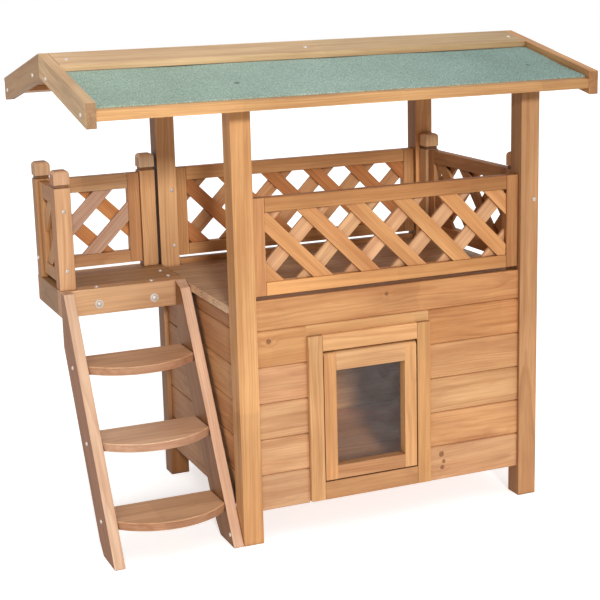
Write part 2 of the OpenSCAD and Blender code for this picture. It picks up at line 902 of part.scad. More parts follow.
// Half-moon tread between the stringers, straight at the back
module tread(count) {
    top = tread_top(count);
    front = stringer_front(top);
    back = stringer_front(top - tread_thickness) + stringer_depth;
    half = tread_length / 2;
    radius = (half * half + tread_bulge * tread_bulge) / (2 * tread_bulge);
    color(honey) placed() drilled()
        translate([-landing_length / 2, front, top - tread_thickness])
            linear_extrude(tread_thickness) intersection() {
                translate([0, radius - tread_bulge]) circle(r = radius, $fn = 96);
                translate([-half, -tread_bulge]) square([2 * half, back - front + tread_bulge]);
            }
}

module ladder_tread_1() { tread(1); }
module ladder_tread_2() { tread(2); }
module ladder_tread_3() { tread(3); }

// Strip of the front roof slope between two drops below the barge tops, drawn in Y and Z
module slope_strip(start, end, upper_drop, lower_drop) {
    polygon([[start, slope_top(start) - upper_drop], [end, slope_top(end) - upper_drop],
        [end, slope_top(end) - lower_drop], [start, slope_top(start) - lower_drop]]);
}

// Eave rail in front, rebated for the edge of the roof sheet
module eave_rail() {
    along_x(barge_inner_left, roof_inner_length) difference() {
        slope_strip(eave_front, eave_inner, sheet_drop, sheet_drop + eave_rail_height);
        slope_strip(sheet_front, eave_inner + 1, sheet_drop - 1, batten_drop);
    }
}

module eave_rails() {
    color(honey) placed() drilled() {
        eave_rail();
        at_back() eave_rail();
    }
}

module ridge_purlin() {
    along_x(barge_inner_left, roof_inner_length)
        slope_strip(purlin_outer, purlin_inner, batten_drop, post_drop - layer_gap);
}

module ridge_purlins() {
    color(brown) placed() drilled() {
        ridge_purlin();
        at_back() ridge_purlin();
    }
}

// Rafter over the front left post, between eave rail and purlin
module rafter() {
    along_x(0, post_side)
        slope_strip(eave_inner, purlin_outer, batten_drop, post_drop - layer_gap);
}

module roof_rafters() {
    color(brown) placed() {
        rafter();
        at_right() rafter();
        at_back() rafter();
        at_back() at_right() rafter();
    }
}

module roof_sheet() {
    along_x(barge_inner_left, roof_inner_length)
        slope_strip(sheet_front, ridge_y - joint_gap / 2, sheet_drop, batten_drop - layer_gap);
}

module roof_sheets() {
    color(brown) placed() drilled() {
        roof_sheet();
        at_back() roof_sheet();
    }
}

module roof_felt() {
    along_x(barge_inner_left, roof_inner_length)
        slope_strip(eave_front + eave_bare_strip, ridge_y, felt_drop, sheet_drop - layer_gap);
}

module roof_felt_front() { color(felt_green) placed() drilled() roof_felt(); }
module roof_felt_back() { color(felt_green) placed() drilled() at_back() roof_felt(); }

// Barge board with plumb ends, which meets its neighbour under the ridge
module barge(x) {
    along_x(x, barge_thickness) slope_strip(eave_y, ridge_y, 0, barge_height);
}

module barge_left_front() { color(golden) placed() drilled() barge(roof_left); }
module barge_left_back() { color(golden) placed() drilled() at_back() barge(roof_left); }

module barge_right_front() {
    color(golden) placed() drilled() barge(roof_right - barge_thickness);
}

module barge_right_back() {
    color(golden) placed() drilled() at_back() barge(roof_right - barge_thickness);
}

module ridge_board() {
    along_x(barge_inner_left, roof_inner_length)
        slope_strip(ridge_y - ridge_board_width / plumb, ridge_y - joint_gap / 2, 0,
            felt_drop - layer_gap);
}

module ridge_boards() {
    color(golden) placed() drilled() {
        ridge_board();
        at_back() ridge_board();
    }
}

// Places of the wood screws: each child is drawn at the surface, its +Z into the wood
module at_screws() {
    at_roof_screws() children();
    at_back() at_roof_screws() children();
    at_ladder_screws() children();
    at_post_screws() children();
    at_landing_screws() children();
}

// Screws of the front slope: barge boards into eave rail and purlin, ridge board down
module at_roof_screws() {
    for (place = [[sheet_front + eave_inner, (batten_drop + sheet_drop + eave_rail_height) / 2],
            [purlin_outer + purlin_inner, (batten_drop + post_drop - layer_gap) / 2]]) {
        y = place[0] / 2;
        z = slope_top(y) - place[1];
        translate([roof_left, y, z]) rotate([0, 90, 0]) children();
        translate([roof_right, y, z]) rotate([0, -90, 0]) children();
    }
    y = ridge_y - purlin_distance;
    for (x = ridge_screw_x)
        translate([x, y, slope_top(y)]) rotate([180 + roof_slope, 0, 0]) children();
}

// Screws through the stringers into the tread ends, and one into the front left post
module at_ladder_screws() {
    for (count = [1 : 3]) {
        z = tread_top(count) - tread_thickness / 2;
        y = stringer_front(z) + tread_screw_inset;
        translate([-landing_length, y, z]) rotate([0, 90, 0]) children();
        translate([0, y, z]) rotate([0, -90, 0]) children();
    }
    translate([-stringer_thickness, post_side / 2, ladder_screw_height]) rotate([0, 90, 0])
        children();
}

// Screws that hold the stiles of the railings to posts and newels
module at_post_screws() {
    high = railing_top - railing_top_height - post_screw_drop;
    low = railing_bottom + railing_bottom_height;
    translate([house_width - post_screw_inset, 0, high - front_screw_lower])
        rotate([-90, 0, 0]) children();
    for (z = [low, high])
        translate([post_side - post_screw_inset, post_inner_back, z]) rotate([-90, 0, 0])
            children();
    for (z = [low, high])
        translate([newel_front_x + newel_side / 2, newel_front_y, z]) rotate([-90, 0, 0])
            children();
    translate([newel_outer_x, newel_row_y + newel_side / 2, low]) rotate([0, 90, 0]) children();
}

// Screws of the landing deck, into the front fascia and the ledger
module at_landing_screws() {
    for (x = joist_x)
        translate([x, landing_front + fascia_thickness / 2, landing_top]) rotate([180, 0, 0])
            children();
    for (y = [landing_deck_front + landing_first_board / 2, (landing_front + house_depth) / 2])
        translate([-ledger_screw_inset, y, landing_top]) rotate([180, 0, 0]) children();
}

module screw_hole() {
    translate([0, 0, -0.1])
        cylinder(d = screw_shank_diameter + 2 * fastener_clearance, h = screw_length + 0.2);
}

// Cuts the holes of all wood screws out of a piece
module drilled() {
    difference() {
        children();
        at_screws() screw_hole();
    }
}

// Round head above the surface, shank below it
module screw() {
    r = screw_head_diameter / 2;
    translate([0, 0, -screw_head_height])
        cylinder(r1 = 0.6 * r, r2 = r, h = screw_head_height);
    cylinder(d = screw_shank_diameter, h = screw_length);
}

module wood_screws() { color("silver") placed() at_screws() screw(); }

// Washer-head bolts through the front fascia into the joists
module landing_bolts() {
    r = bolt_head_diameter / 2;
    h = bolt_head_height;
    w = bolt_washer_thickness;
    shank = bolt_shank_diameter / 2;
    color("silver") placed() for (x = joist_x)
        translate([x, landing_front, bolt_z]) rotate([-90, 0, 0]) rotate_extrude()
            polygon([[0, -w - h], [0.5 * r, -w - 0.93 * h], [0.85 * r, -w - 0.7 * h],
                [r, -w - 0.35 * h], [r, -w], [bolt_washer_diameter / 2, -w],
                [bolt_washer_diameter / 2, 0], [shank, 0], [shank, bolt_length - shank],
                [0, bolt_length]]);
}

post_front_left();
post_front_right();
post_back_left();
post_back_right();
front_boards_left();
front_boards_right();
front_boards_top();
left_wall_boards();
right_wall_boards();
back_wall_boards();
floor_panel();
door_jamb_left();
door_jamb_right();
door_head();
door_sill();
door_stile_left();
door_stile_right();
door_top_rail();
door_bottom_rail();
door_pane();
door_pivot_pins();
balcony_deck();
front_railing_frame();
front_railing_lattice();
back_railing_frame();
back_railing_lattice();
right_railing_frame();
right_railing_lattice();
landing_back_frame();
landing_back_lattice();
landing_side_frame();
landing_side_lattice();
newel_right_front();
newel_right_back();
newel_landing_inner();
newel_landing_back();
newel_landing_front();
landing_deck();
landing_joists();
landing_fascia_front();
landing_fascia_left();
landing_fascia_back();
ladder_stringer_left();
ladder_stringer_right();
ladder_tread_1();
ladder_tread_2();
ladder_tread_3();
eave_rails();
ridge_purlins();
roof_rafters();
roof_sheets();
roof_felt_front();
roof_felt_back();
barge_left_front();
barge_left_back();
barge_right_front();
barge_right_back();
ridge_boards();
wood_screws();
landing_bolts();
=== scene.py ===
"""Raised cat house: boarded sleeping box, lattice balcony, landing, ladder and felted roof.

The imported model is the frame. Each timber is a surface worked out with numpy as a profile
carried along the timber, in millimetres from the foot of the front left post, and moved
into the frame's metres at the end. Every vertex carries the place that it had in the log,
so that the grain follows each board and shows its rings on the ends.
"""

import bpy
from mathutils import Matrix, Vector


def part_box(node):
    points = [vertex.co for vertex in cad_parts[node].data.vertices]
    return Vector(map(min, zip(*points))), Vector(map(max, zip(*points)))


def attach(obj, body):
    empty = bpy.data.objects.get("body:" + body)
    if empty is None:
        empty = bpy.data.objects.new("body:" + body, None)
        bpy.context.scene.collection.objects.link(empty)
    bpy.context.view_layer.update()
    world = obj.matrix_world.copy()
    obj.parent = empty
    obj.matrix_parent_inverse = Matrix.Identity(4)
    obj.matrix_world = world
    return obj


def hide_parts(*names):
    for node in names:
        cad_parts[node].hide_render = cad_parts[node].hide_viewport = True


bl_info = {
    "name": "Cat House",
    "version": (1, 0, 0),
    "blender": (4, 5, 0),
    "location": "3D View > Sidebar > Cat House",
    "description": "Dresses the packed cat house with timber, felt, screws and a studio stage",
    "category": "Object",
}

import math

import bpy
import numpy as np
from mathutils import Matrix

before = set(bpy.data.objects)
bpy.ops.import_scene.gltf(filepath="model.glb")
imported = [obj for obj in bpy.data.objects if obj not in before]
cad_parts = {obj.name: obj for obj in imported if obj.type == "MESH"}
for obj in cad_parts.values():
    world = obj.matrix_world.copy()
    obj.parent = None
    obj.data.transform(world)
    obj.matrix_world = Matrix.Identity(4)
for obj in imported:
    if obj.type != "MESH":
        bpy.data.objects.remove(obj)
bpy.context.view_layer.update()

# Foot of the front left post in the frame, in metres, and millimetres to a metre
ORIGIN = np.array(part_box("post_front_left")[0])
MM = 0.001


def reach(node):
    """Lowest and highest corner of a CAD node, in millimetres from the origin."""
    low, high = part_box(node)
    return (np.array(low) - ORIGIN) / MM, (np.array(high) - ORIGIN) / MM


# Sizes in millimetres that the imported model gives
POST = reach("post_front_left")[1][0]
WIDTH = reach("post_front_right")[1][0]
DEPTH = reach("post_back_left")[1][1]
LANDING_LOW, LANDING_HIGH = reach("landing_fascia_front")
ROOF_LOW = reach("barge_left_front")[0]
ROOF_HIGH = reach("barge_right_back")[1]
FELT_LOW, FELT_HIGH = reach("roof_felt_front")
RIDGE_Y = DEPTH / 2
RIDGE_Z = ROOF_HIGH[2]

# Boards: from one to the next, the open joint, the tongue and the groove
BOARD = 55.4
JOINT = 0.2
TONGUE_HALF, TONGUE_REACH = 2.0, 6.0
GROOVE_HALF, GROOVE_DEEP = 2.3, 6.3
WALL_ROWS = 6

# Decks: width of the first, ripped board of each
BALCONY_FIRST, LANDING_FIRST = 20, 23

# Railings: a stile's width, the rails' heights, a slat's thickness and width, and the
# distance from slat to slat
STILE = 20.0
BOTTOM_RAIL = 19.5
TOP_RAIL, LANDING_TOP_RAIL = 21.5, 24.5
SLAT_THICK, SLAT_WIDE = 5, 22.4
PITCH = 77.6

# Newels: cap, groove and how deep the groove is cut
CAP = 22
GROOVE = 5
GROOVE_CUT = 2

# Ladder: depth of a stringer at its foot and its top, its thickness, width and height of
# the cut at its heel, and how far a tread bulges
STRINGER_FOOT, STRINGER_TOP = 69.0, 20.0
STRINGER_THICK = 16.5
HEEL_WIDE, HEEL_HIGH = 8, 18
TREAD_BULGE = 36.0

# Landing: thickness of its fascia boards, and side and spacing of its joists
FASCIA_THICK = 22
JOIST_SIDE, JOIST_SPACING = 28, 88.6

# Roof: its slope, upright height over square thickness, and sizes of its layers and rails
SLOPE = math.radians(11.5)
PLUMB = 1 / math.cos(SLOPE)
RIDGE_BOARD_WIDE, RIDGE_BOARD_THICK = 69, 9.5
FELT_THICK, SHEET_THICK, LAYER_GAP = 2.6, 6, 0.1
BATTEN_DEEP, BATTEN_THICK = 28, 13
EAVE_SETBACK, EAVE_RAIL_HIGH = 2, 13.8
PURLIN_DISTANCE = 41

# Upright drops below the plane of the barge tops, down to the undersides of the ridge
# boards, and to the tops of the felt, the roof sheets and the timbers under them
RIDGE_DROP = RIDGE_BOARD_THICK * PLUMB
FELT_DROP = RIDGE_DROP + LAYER_GAP
SHEET_DROP = FELT_DROP + FELT_THICK * PLUMB + LAYER_GAP
REBATE_DROP = SHEET_DROP + SHEET_THICK * PLUMB + LAYER_GAP

# Screws: radius and height of a head, and distances under the names of the source
SCREW_RADIUS, SCREW_HEIGHT = 3.1, 2.2
RIDGE_SCREW_INSET, RIDGE_SCREW_MIDDLE = 31, 181
TREAD_SCREW_INSET, LEDGER_SCREW_INSET, LADDER_SCREW_HEIGHT = 30, 17, 17
POST_SCREW_INSET, POST_SCREW_DROP, FRONT_SCREW_LOWER = 8, 11, 7

# Bolts: radius of the washer head, and its profile as (radius, height)
BOLT_RADIUS = 7
BOLT_PROFILE = ((0, -0.2), (BOLT_RADIUS, -0.2), (BOLT_RADIUS, 1.1), (6.7, 1.4), (4.4, 1.4),
                (4.5, 2.4), (4.2, 3.5), (3.2, 4.5), (1.6, 4.95), (0, 5.0))

# Rubbed spots on the felt, x and y
FELT_MARKS = ((21, 21), (497, 24))

# Knots of the front wall: place in millimetres and radius in metres. Each is drawn out
# through the wall, and the bend of the rings round it fades as a power of the base.
KNOTS = (((243.3, 6.3, 359), 0.0030), ((50.8, 6.3, 309), 0.0040), ((336, 6.3, 90.2), 0.0046),
         ((339.8, 6.3, 78), 0.0032), ((337.3, 6.3, 68.5), 0.0036))
KNOT_SQUASH = (1, 0.15, 1)
KNOT_BASE = 2.718

# Sizes in the timber, in metres: a finger joint's length and width, the edge that is rubbed and
# lightened with a painted highlight, and the reach of the painted shade in corners
FINGER_BLOCK, FINGER_WIDE = 0.235, 0.0019
HIGHLIT_EDGE_REACH = 0.0016
CORNER_SHADE_REACH = 0.009

# Tones of the kinds of timber against the golden one
TONES = {"golden": (1, 1, 1), "honey": (0.84, 0.80, 0.74), "pale": (1.16, 1.2, 1.35),
         "brown": (0.62, 0.56, 0.54), "rosy": (1.3, 1.02, 0.86)}

# Tints that several timbers share
PLAIN = (1.0, 1.0, 1.0)
DEEP = (0.90, 0.85, 0.80)
DARK = (0.78, 0.72, 0.68)

# The photograph's camera: place in millimetres, and angles in degrees
CAMERA_PLACE = (-695.3, -1902.1, 853.8)
CAMERA_TURN, CAMERA_DOWN, CAMERA_ROLL = 22.68, 13.28, -1.49


# settings


class TimberSettings(bpy.types.PropertyGroup):
    """Sizes and colours of the timbers."""

    edge_round: bpy.props.FloatProperty(
        name="Edge round", description="Radius of the eased edges of the timbers",
        default=0.0011, min=0.0003, max=0.003, unit="LENGTH")
    seam_bevel: bpy.props.FloatProperty(
        name="Seam bevel", description="Bevel along the seams of the wall boards",
        default=0.0018, min=0.0005, max=0.003, unit="LENGTH")
    ring_spacing: bpy.props.FloatProperty(
        name="Ring spacing", description="Distance between the growth rings",
        default=0.0031, min=0.001, max=0.006, unit="LENGTH")
    golden: bpy.props.FloatVectorProperty(
        name="Golden", description="Early wood of the timbers that face the front",
        default=(0.74, 0.415, 0.190), size=3, min=0, max=1, subtype="COLOR")
    amber: bpy.props.FloatVectorProperty(
        name="Amber", description="Late wood of the timbers that face the front",
        default=(0.45, 0.205, 0.086), size=3, min=0, max=1, subtype="COLOR")
    knot: bpy.props.FloatVectorProperty(
        name="Knot", description="Heart of the knots",
        default=(0.21, 0.085, 0.040), size=3, min=0, max=1, subtype="COLOR")


class RoofSettings(bpy.types.PropertyGroup):
    """Colours of the roofing felt and the metal."""

    granule_dark: bpy.props.FloatVectorProperty(
        name="Dark granules", description="Darkest granules of the felt",
        default=(0.21, 0.29, 0.235), size=3, min=0, max=1, subtype="COLOR")
    granule_light: bpy.props.FloatVectorProperty(
        name="Light granules", description="Lightest common granules of the felt",
        default=(0.43, 0.57, 0.49), size=3, min=0, max=1, subtype="COLOR")
    granule_size: bpy.props.FloatProperty(
        name="Granule size", description="Distance between granules of the felt",
        default=0.0009, min=0.0005, max=0.003, unit="LENGTH")
    zinc: bpy.props.FloatVectorProperty(
        name="Zinc", description="Colour of the screws",
        default=(0.76, 0.68, 0.60), size=3, min=0, max=1, subtype="COLOR")


class StageSettings(bpy.types.PropertyGroup):
    """Lights, floor and camera of the stage."""

    key_power: bpy.props.FloatProperty(
        name="Key light", description="Strength of the key light", default=2.05, min=0)
    key_height: bpy.props.FloatProperty(
        name="Key height", description="Height of the key light over the horizon",
        default=math.radians(18), subtype="ANGLE")
    key_turn: bpy.props.FloatProperty(
        name="Key turn", description="Turn of the key light from the front to the right",
        default=math.radians(-12), subtype="ANGLE")
    key_spread: bpy.props.FloatProperty(
        name="Key spread", description="Angle that the key light fills",
        default=math.radians(8), subtype="ANGLE")
    fill: bpy.props.FloatProperty(
        name="Fill", description="Strength of the light from all sides", default=0.40, min=0)
    top_power: bpy.props.FloatProperty(
        name="Top light", description="Strength of the wide light from above", default=0.75, min=0)
    floor: bpy.props.FloatVectorProperty(
        name="Floor", description="Colour of the floor",
        default=(0.80, 0.80, 0.79), size=3, min=0, max=1, subtype="COLOR")
    lens: bpy.props.FloatProperty(
        name="Lens", description="Focal length of the camera in millimetres", default=87.07)


# surfaces


def softened(outline, radius, steps=3):
    """Outline with each corner replaced by a curve. The curve leaves and meets the two
    edges at radius times the tangent of half the turn from the corner, and between them
    it is the quadratic blend of the first point, the corner and the last point."""
    outline = np.asarray(outline, float)
    radius = np.broadcast_to(np.asarray(radius, float), (len(outline),))
    back = np.roll(outline, 1, 0) - outline
    ahead = np.roll(outline, -1, 0) - outline
    back /= np.linalg.norm(back, axis=1)[:, None]
    ahead /= np.linalg.norm(ahead, axis=1)[:, None]
    turn = math.pi - np.arccos(np.clip((back * ahead).sum(1), -1, 1))
    leave = (radius * np.tan(turn / 2))[:, None]
    first, last = outline + back * leave, outline + ahead * leave
    t = np.linspace(0, 1, steps + 1)[None, :, None]
    arc = (1 - t) ** 2 * first[:, None] + 2 * t * (1 - t) * outline[:, None] + t ** 2 * last[:, None]
    return arc.reshape(-1, 2)


def inset(outline, distance):
    """Outline moved inwards by a distance: each corner slides along the bisector of its
    edges, by the distance over the cosine of half the angle between their normals."""
    edge = np.roll(outline, -1, 0) - outline
    edge /= np.linalg.norm(edge, axis=1)[:, None]
    normal = np.stack([-edge[:, 1], edge[:, 0]], 1)
    before = np.roll(normal, 1, 0)
    return outline + distance * (normal + before) / (1 + (normal * before).sum(1))[:, None]


def box_outline(low, high):
    """Rectangle between two corners, anticlockwise."""
    (a, b), (c, d) = low, high
    return np.array([[a, b], [c, b], [c, d], [a, d]], float)


def ring_faces(index):
    """Four-sided faces between neighbouring rings of vertex numbers."""
    after = np.roll(index, -1, 1)
    return np.stack([index[:-1], after[:-1], after[1:], index[1:]], -1).reshape(-1, 4).tolist()


def skin(rings):
    """Surface through rings of points, shut by a flat face at each end."""
    index = np.arange(rings[..., 0].size).reshape(rings.shape[:2])
    caps = [index[0][::-1].tolist(), index[-1].tolist()]
    return rings.reshape(-1, 3), ring_faces(index) + caps


# For each axis, where an outline's two numbers and the distance along go in a place
AXES = {"x": (1, 2, 0), "y": (0, 2, 1), "z": (0, 1, 2)}
UNIT = {"x": (1, 0, 0), "y": (0, 1, 0), "z": (0, 0, 1)}


def bar(outline, start, end, along="x", ease=0.0, round_steps=3):
    """Closed bar: the outline carried from start to end along an axis. Near each end the
    outline shrinks by ease times one minus the sine of an angle while it moves along by
    ease times one minus its cosine, which rounds the edges of the ends. Start and end may
    be functions of the outline's points, for ends that are cut at a slope."""
    outline = np.asarray(outline, float)

    def cut(end_at, ring):
        """Distance along the axis at which each point of the ring ends."""
        return end_at(*ring.T) if callable(end_at) else np.full(len(ring), float(end_at))

    near, far = [], []
    for angle in np.linspace(0, math.pi / 2, round_steps + 1) if ease else [math.pi / 2]:
        ring = inset(outline, ease * (1 - math.sin(angle))) if ease else outline
        shift = ease * (1 - math.cos(angle))
        near.append(np.column_stack([ring, cut(start, ring) + shift]))
        far.insert(0, np.column_stack([ring, cut(end, ring) - shift]))
    grid = np.stack(near + far)
    rings = np.empty_like(grid)
    rings[..., AXES[along]] = grid
    places, faces = skin(rings)
    return places, [face[::-1] for face in faces] if along == "y" else faces


def clip(outline, normal, limit):
    """Part of a convex outline where the dot product with the normal is under the limit."""
    depth = outline @ np.asarray(normal, float) - limit
    kept = []
    for i, point in enumerate(outline):
        j = (i + 1) % len(outline)
        if depth[i] <= 0:
            kept.append(point)
        if (depth[i] < 0) != (depth[j] < 0) and depth[i] != depth[j]:
            kept.append(point + (outline[j] - point) * depth[i] / (depth[i] - depth[j]))
    return np.array(kept)


def close_poles(rings, first, last):
    """Surface through rings about Z, shut by a point on the axis at each end."""
    turns = rings.shape[1]
    count = rings.shape[0] * turns
    index = np.arange(count).reshape(-1, turns)
    fan_a = np.stack([np.roll(index[0], -1), index[0], np.full(turns, count)], -1)
    fan_b = np.stack([index[-1], np.roll(index[-1], -1), np.full(turns, count + 1)], -1)
    places = np.vstack([rings.reshape(-1, 3), [[0, 0, first], [0, 0, last]]])
    return places, ring_faces(index) + fan_a.tolist() + fan_b.tolist()


def lathe(profile, turns):
    """Surface of revolution about Z through (radius, height) points, closed at both
    poles: x = radius * cos(angle), y = radius * sin(angle)."""
    profile = np.asarray(profile, float)
    angle = np.arange(turns) * 2 * math.pi / turns
    radius, height = profile[1:-1, 0, None], profile[1:-1, 1, None]
    rings = np.stack([radius * np.cos(angle), radius * np.sin(angle), height + 0 * angle], -1)
    return close_poles(rings, profile[0, 1], profile[-1, 1])


def screw_head(radius, height):
    """Pan head with a cross recess: the dome follows the upper part of an ellipse over
    the distance from the axis, less the recess where a point lies on an arm."""
    turns, under = 36, -0.15
    r = np.linspace(0.06, 1, 11)[:, None] * radius
    angle = np.arange(turns)[None, :] * 2 * math.pi / turns
    x, y = r * np.cos(angle), r * np.sin(angle)
    dome = height * (0.45 + 0.55 * np.sqrt(np.maximum(1 - (r / radius) ** 2, 0))) + 0 * angle
    arm = np.minimum(np.abs(x), np.abs(y)) < 0.12 * radius
    recess = np.where(arm & (r < 0.62 * radius), 0.5 * height, 0.0)
    top = np.stack([x, y, dome - recess], -1)[::-1]
    rim = np.stack([radius * np.cos(angle), radius * np.sin(angle), under + 0 * angle], -1)
    return close_poles(np.concatenate([rim, top]), under, 0.45 * height)


def turned(solid, direction, at):
    """Solid turned so that +Z looks along a direction, and moved to a point."""
    places, faces = solid
    z = np.asarray(direction, float) / np.linalg.norm(direction)
    x = np.cross([0, 1, 0] if abs(z[1]) < 0.9 else [1, 0, 0], z)
    x /= np.linalg.norm(x)
    return places @ np.array([x, np.cross(z, x), z]) + np.asarray(at, float), faces


def mirrored(solid):
    """Solid of the front slope turned into that of the back slope."""
    places, faces = solid
    return places * (1, -1, 1) + (0, 2 * RIDGE_Y, 0), [face[::-1] for face in faces]


def linked(name, data):
    """New object in the scene."""
    made = bpy.data.objects.new(name, data)
    bpy.context.scene.collection.objects.link(made)
    return made


class Piece:
    """Gathers the solids of one piece with the log place and tint of each, then makes the
    Blender object, lets it ride on its body and hides the CAD nodes that it stands for."""

    def __init__(self, name, seed):
        self.name = name
        self.draw = np.random.default_rng(seed)
        self.places, self.faces, self.grain, self.tint, self.run = [], [], [], [], []
        self.count = 0

    def add(self, solid, grain="x", tint=PLAIN, heart=None, tilt=None, far=None, caps=None):
        """Adds a solid. The log place is the distance along the grain and the two
        distances across it from the heart of the tree. Unless they are given, the heart
        lies 25 to 70 mm from the middle of the board and runs at a small tilt to it. The
        tint turns into far along the grain. Caps are two factors for the tint of the
        points with the lowest and the highest X. Each solid's tint also varies a little."""
        places, faces = solid
        along = np.array(UNIT[grain] if isinstance(grain, str) else grain, float)
        along /= np.linalg.norm(along)
        side = np.cross(along, [0, 0, 1] if abs(along[2]) < 0.9 else [0, 1, 0])
        side /= np.linalg.norm(side)
        if heart is None:
            angle, distance = self.draw.uniform(0, 2 * math.pi), self.draw.uniform(25, 70)
            heart = (distance * math.cos(angle), distance * math.sin(angle))
        if tilt is None:
            tilt = self.draw.normal(0, 0.012, 2)
        offset = places - places.mean(0)
        a = offset @ along
        p = offset @ side + heart[0] + tilt[0] * a
        q = offset @ np.cross(side, along) + heart[1] + tilt[1] * a
        start = self.draw.uniform(0, 4000)
        shade = self.draw.normal(0, 1, 3) * (0.035, 0.015, 0.012)
        t = ((a - a.min()) / np.ptp(a))[:, None]
        colour = np.array(tint) * (1 - t) + np.array(tint if far is None else far) * t
        colour *= (1 + shade[0]) * np.array((1, 1 + shade[1], 1 + shade[1] + shade[2]))
        if caps is not None:
            for end, factor in zip((places[:, 0].min(), places[:, 0].max()), caps):
                colour[np.abs(places[:, 0] - end) < 0.02] *= factor
        self.places.append(places)
        self.faces += [[i + self.count for i in face] for face in faces]
        self.grain.append(np.column_stack([a + start, p, q]) * MM)
        self.tint.append(colour)
        self.run.append(np.tile(along, (len(places), 1)))
        self.count += len(places)

    def finish(self, material, nodes, slot, body="house", smooth=38, weighted=True):
        places = np.vstack(self.places) * MM + ORIGIN
        mesh = bpy.data.meshes.new(self.name)
        mesh.from_pydata(places.tolist(), [], self.faces)
        for label, values in (("grain", self.grain), ("tint", self.tint), ("run", self.run)):
            layer = mesh.attributes.new(label, "FLOAT_VECTOR", "POINT")
            layer.data.foreach_set("vector", np.vstack(values).astype(np.float32).ravel())
        mesh.materials.append(material)
        mesh.polygons.foreach_set("use_smooth", np.ones(len(mesh.polygons), bool))
        mesh.set_sharp_from_angle(angle=math.radians(smooth))
        mesh.update()
        piece = linked(self.name, mesh)
        if weighted:
            piece.modifiers.new("Even shading", "WEIGHTED_NORMAL").keep_sharp = True
        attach(piece, body)
        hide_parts(*nodes)


# materials


class Graph:
    """Short names for the shader nodes of one material or world."""

    def __init__(self, holder, shader="Principled BSDF"):
        holder.use_nodes = True
        self.holder = holder
        self.tree = holder.node_tree
        self.shader = self.tree.nodes[shader]

    def feed(self, socket, value):
        """Links a socket to another one or sets its value. None leaves it as it is."""
        if isinstance(value, bpy.types.NodeSocket):
            self.tree.links.new(value, socket)
        elif value is not None:
            socket.default_value = (*value, 1) if socket.type == "RGBA" else value

    def node(self, kind, inputs, **properties):
        """New node with some properties set and some inputs fed."""
        made = self.tree.nodes.new(kind)
        for name, value in properties.items():
            setattr(made, name, value)
        for socket, value in inputs.items():
            self.feed(made.inputs[socket], value)
        return made

    def shade(self, inputs):
        """Feeds the shader's inputs and gives back the material or world."""
        for socket, value in inputs.items():
            self.feed(self.shader.inputs[socket], value)
        return self.holder

    def math(self, operation, *values, clamp=False):
        """Result of a sum with numbers."""
        inputs = dict(enumerate(values))
        return self.node("ShaderNodeMath", inputs, operation=operation, use_clamp=clamp).outputs[0]

    def add(self, a, b):
        """Two numbers added."""
        return self.math("ADD", a, b)

    def times(self, a, b):
        """Two numbers multiplied."""
        return self.math("MULTIPLY", a, b)

    def vector(self, operation, *values):
        """Result of a sum with vectors."""
        made = self.node("ShaderNodeVectorMath", dict(enumerate(values)), operation=operation)
        return made.outputs["Value" if operation in ("LENGTH", "DOT_PRODUCT") else "Vector"]

    def split(self, vector):
        """The three parts of a vector."""
        return self.node("ShaderNodeSeparateXYZ", {0: vector}).outputs

    def join(self, *parts):
        """The vector of three parts."""
        return self.node("ShaderNodeCombineXYZ", dict(enumerate(parts))).outputs[0]

    def attribute(self, name):
        """Attribute of the mesh's points."""
        return self.node("ShaderNodeAttribute", {}, attribute_name=name).outputs["Vector"]

    def place(self, output="Object"):
        """Place in the object, or its normal."""
        return self.node("ShaderNodeTexCoord", {}).outputs[output]

    def noise(self, vector, scale, detail, roughness):
        """Noise from 0 to 1."""
        return self.node("ShaderNodeTexNoise", {"Vector": vector, "Scale": scale, "Detail": detail,
                                                "Roughness": roughness}).outputs["Fac"]

    def random(self, number):
        """Random number from 0 to 1 that stays the same for the same number."""
        made = self.node("ShaderNodeTexWhiteNoise", {"W": number}, noise_dimensions="1D")
        return made.outputs["Value"]

    def steps(self, value, *stops):
        """Colour ramp. Each stop is a place with a colour, or with a number for a grey."""
        made = self.node("ShaderNodeValToRGB", {"Fac": value})
        elements = made.color_ramp.elements
        while len(elements) < len(stops):
            elements.new(0.5)
        for element, (place, colour) in zip(elements, stops):
            element.position = place
            element.color = (*colour, 1) if isinstance(colour, tuple) else (colour,) * 3 + (1,)
        return made.outputs["Color"]

    def mix(self, amount, a, b, blend="MIX"):
        """Two colours mixed."""
        inputs = {0: amount, 6: a, 7: b}
        return self.node("ShaderNodeMix", inputs, data_type="RGBA", blend_type=blend).outputs[2]

    def tinted(self, colour, factor):
        """A colour multiplied by another one."""
        return self.mix(1.0, colour, factor, "MULTIPLY")

    def bump(self, height, strength, distance, normal=None):
        """Normal of a surface that rises with the height."""
        inputs = {"Strength": strength, "Distance": distance, "Height": height, "Normal": normal}
        return self.node("ShaderNodeBump", inputs).outputs["Normal"]


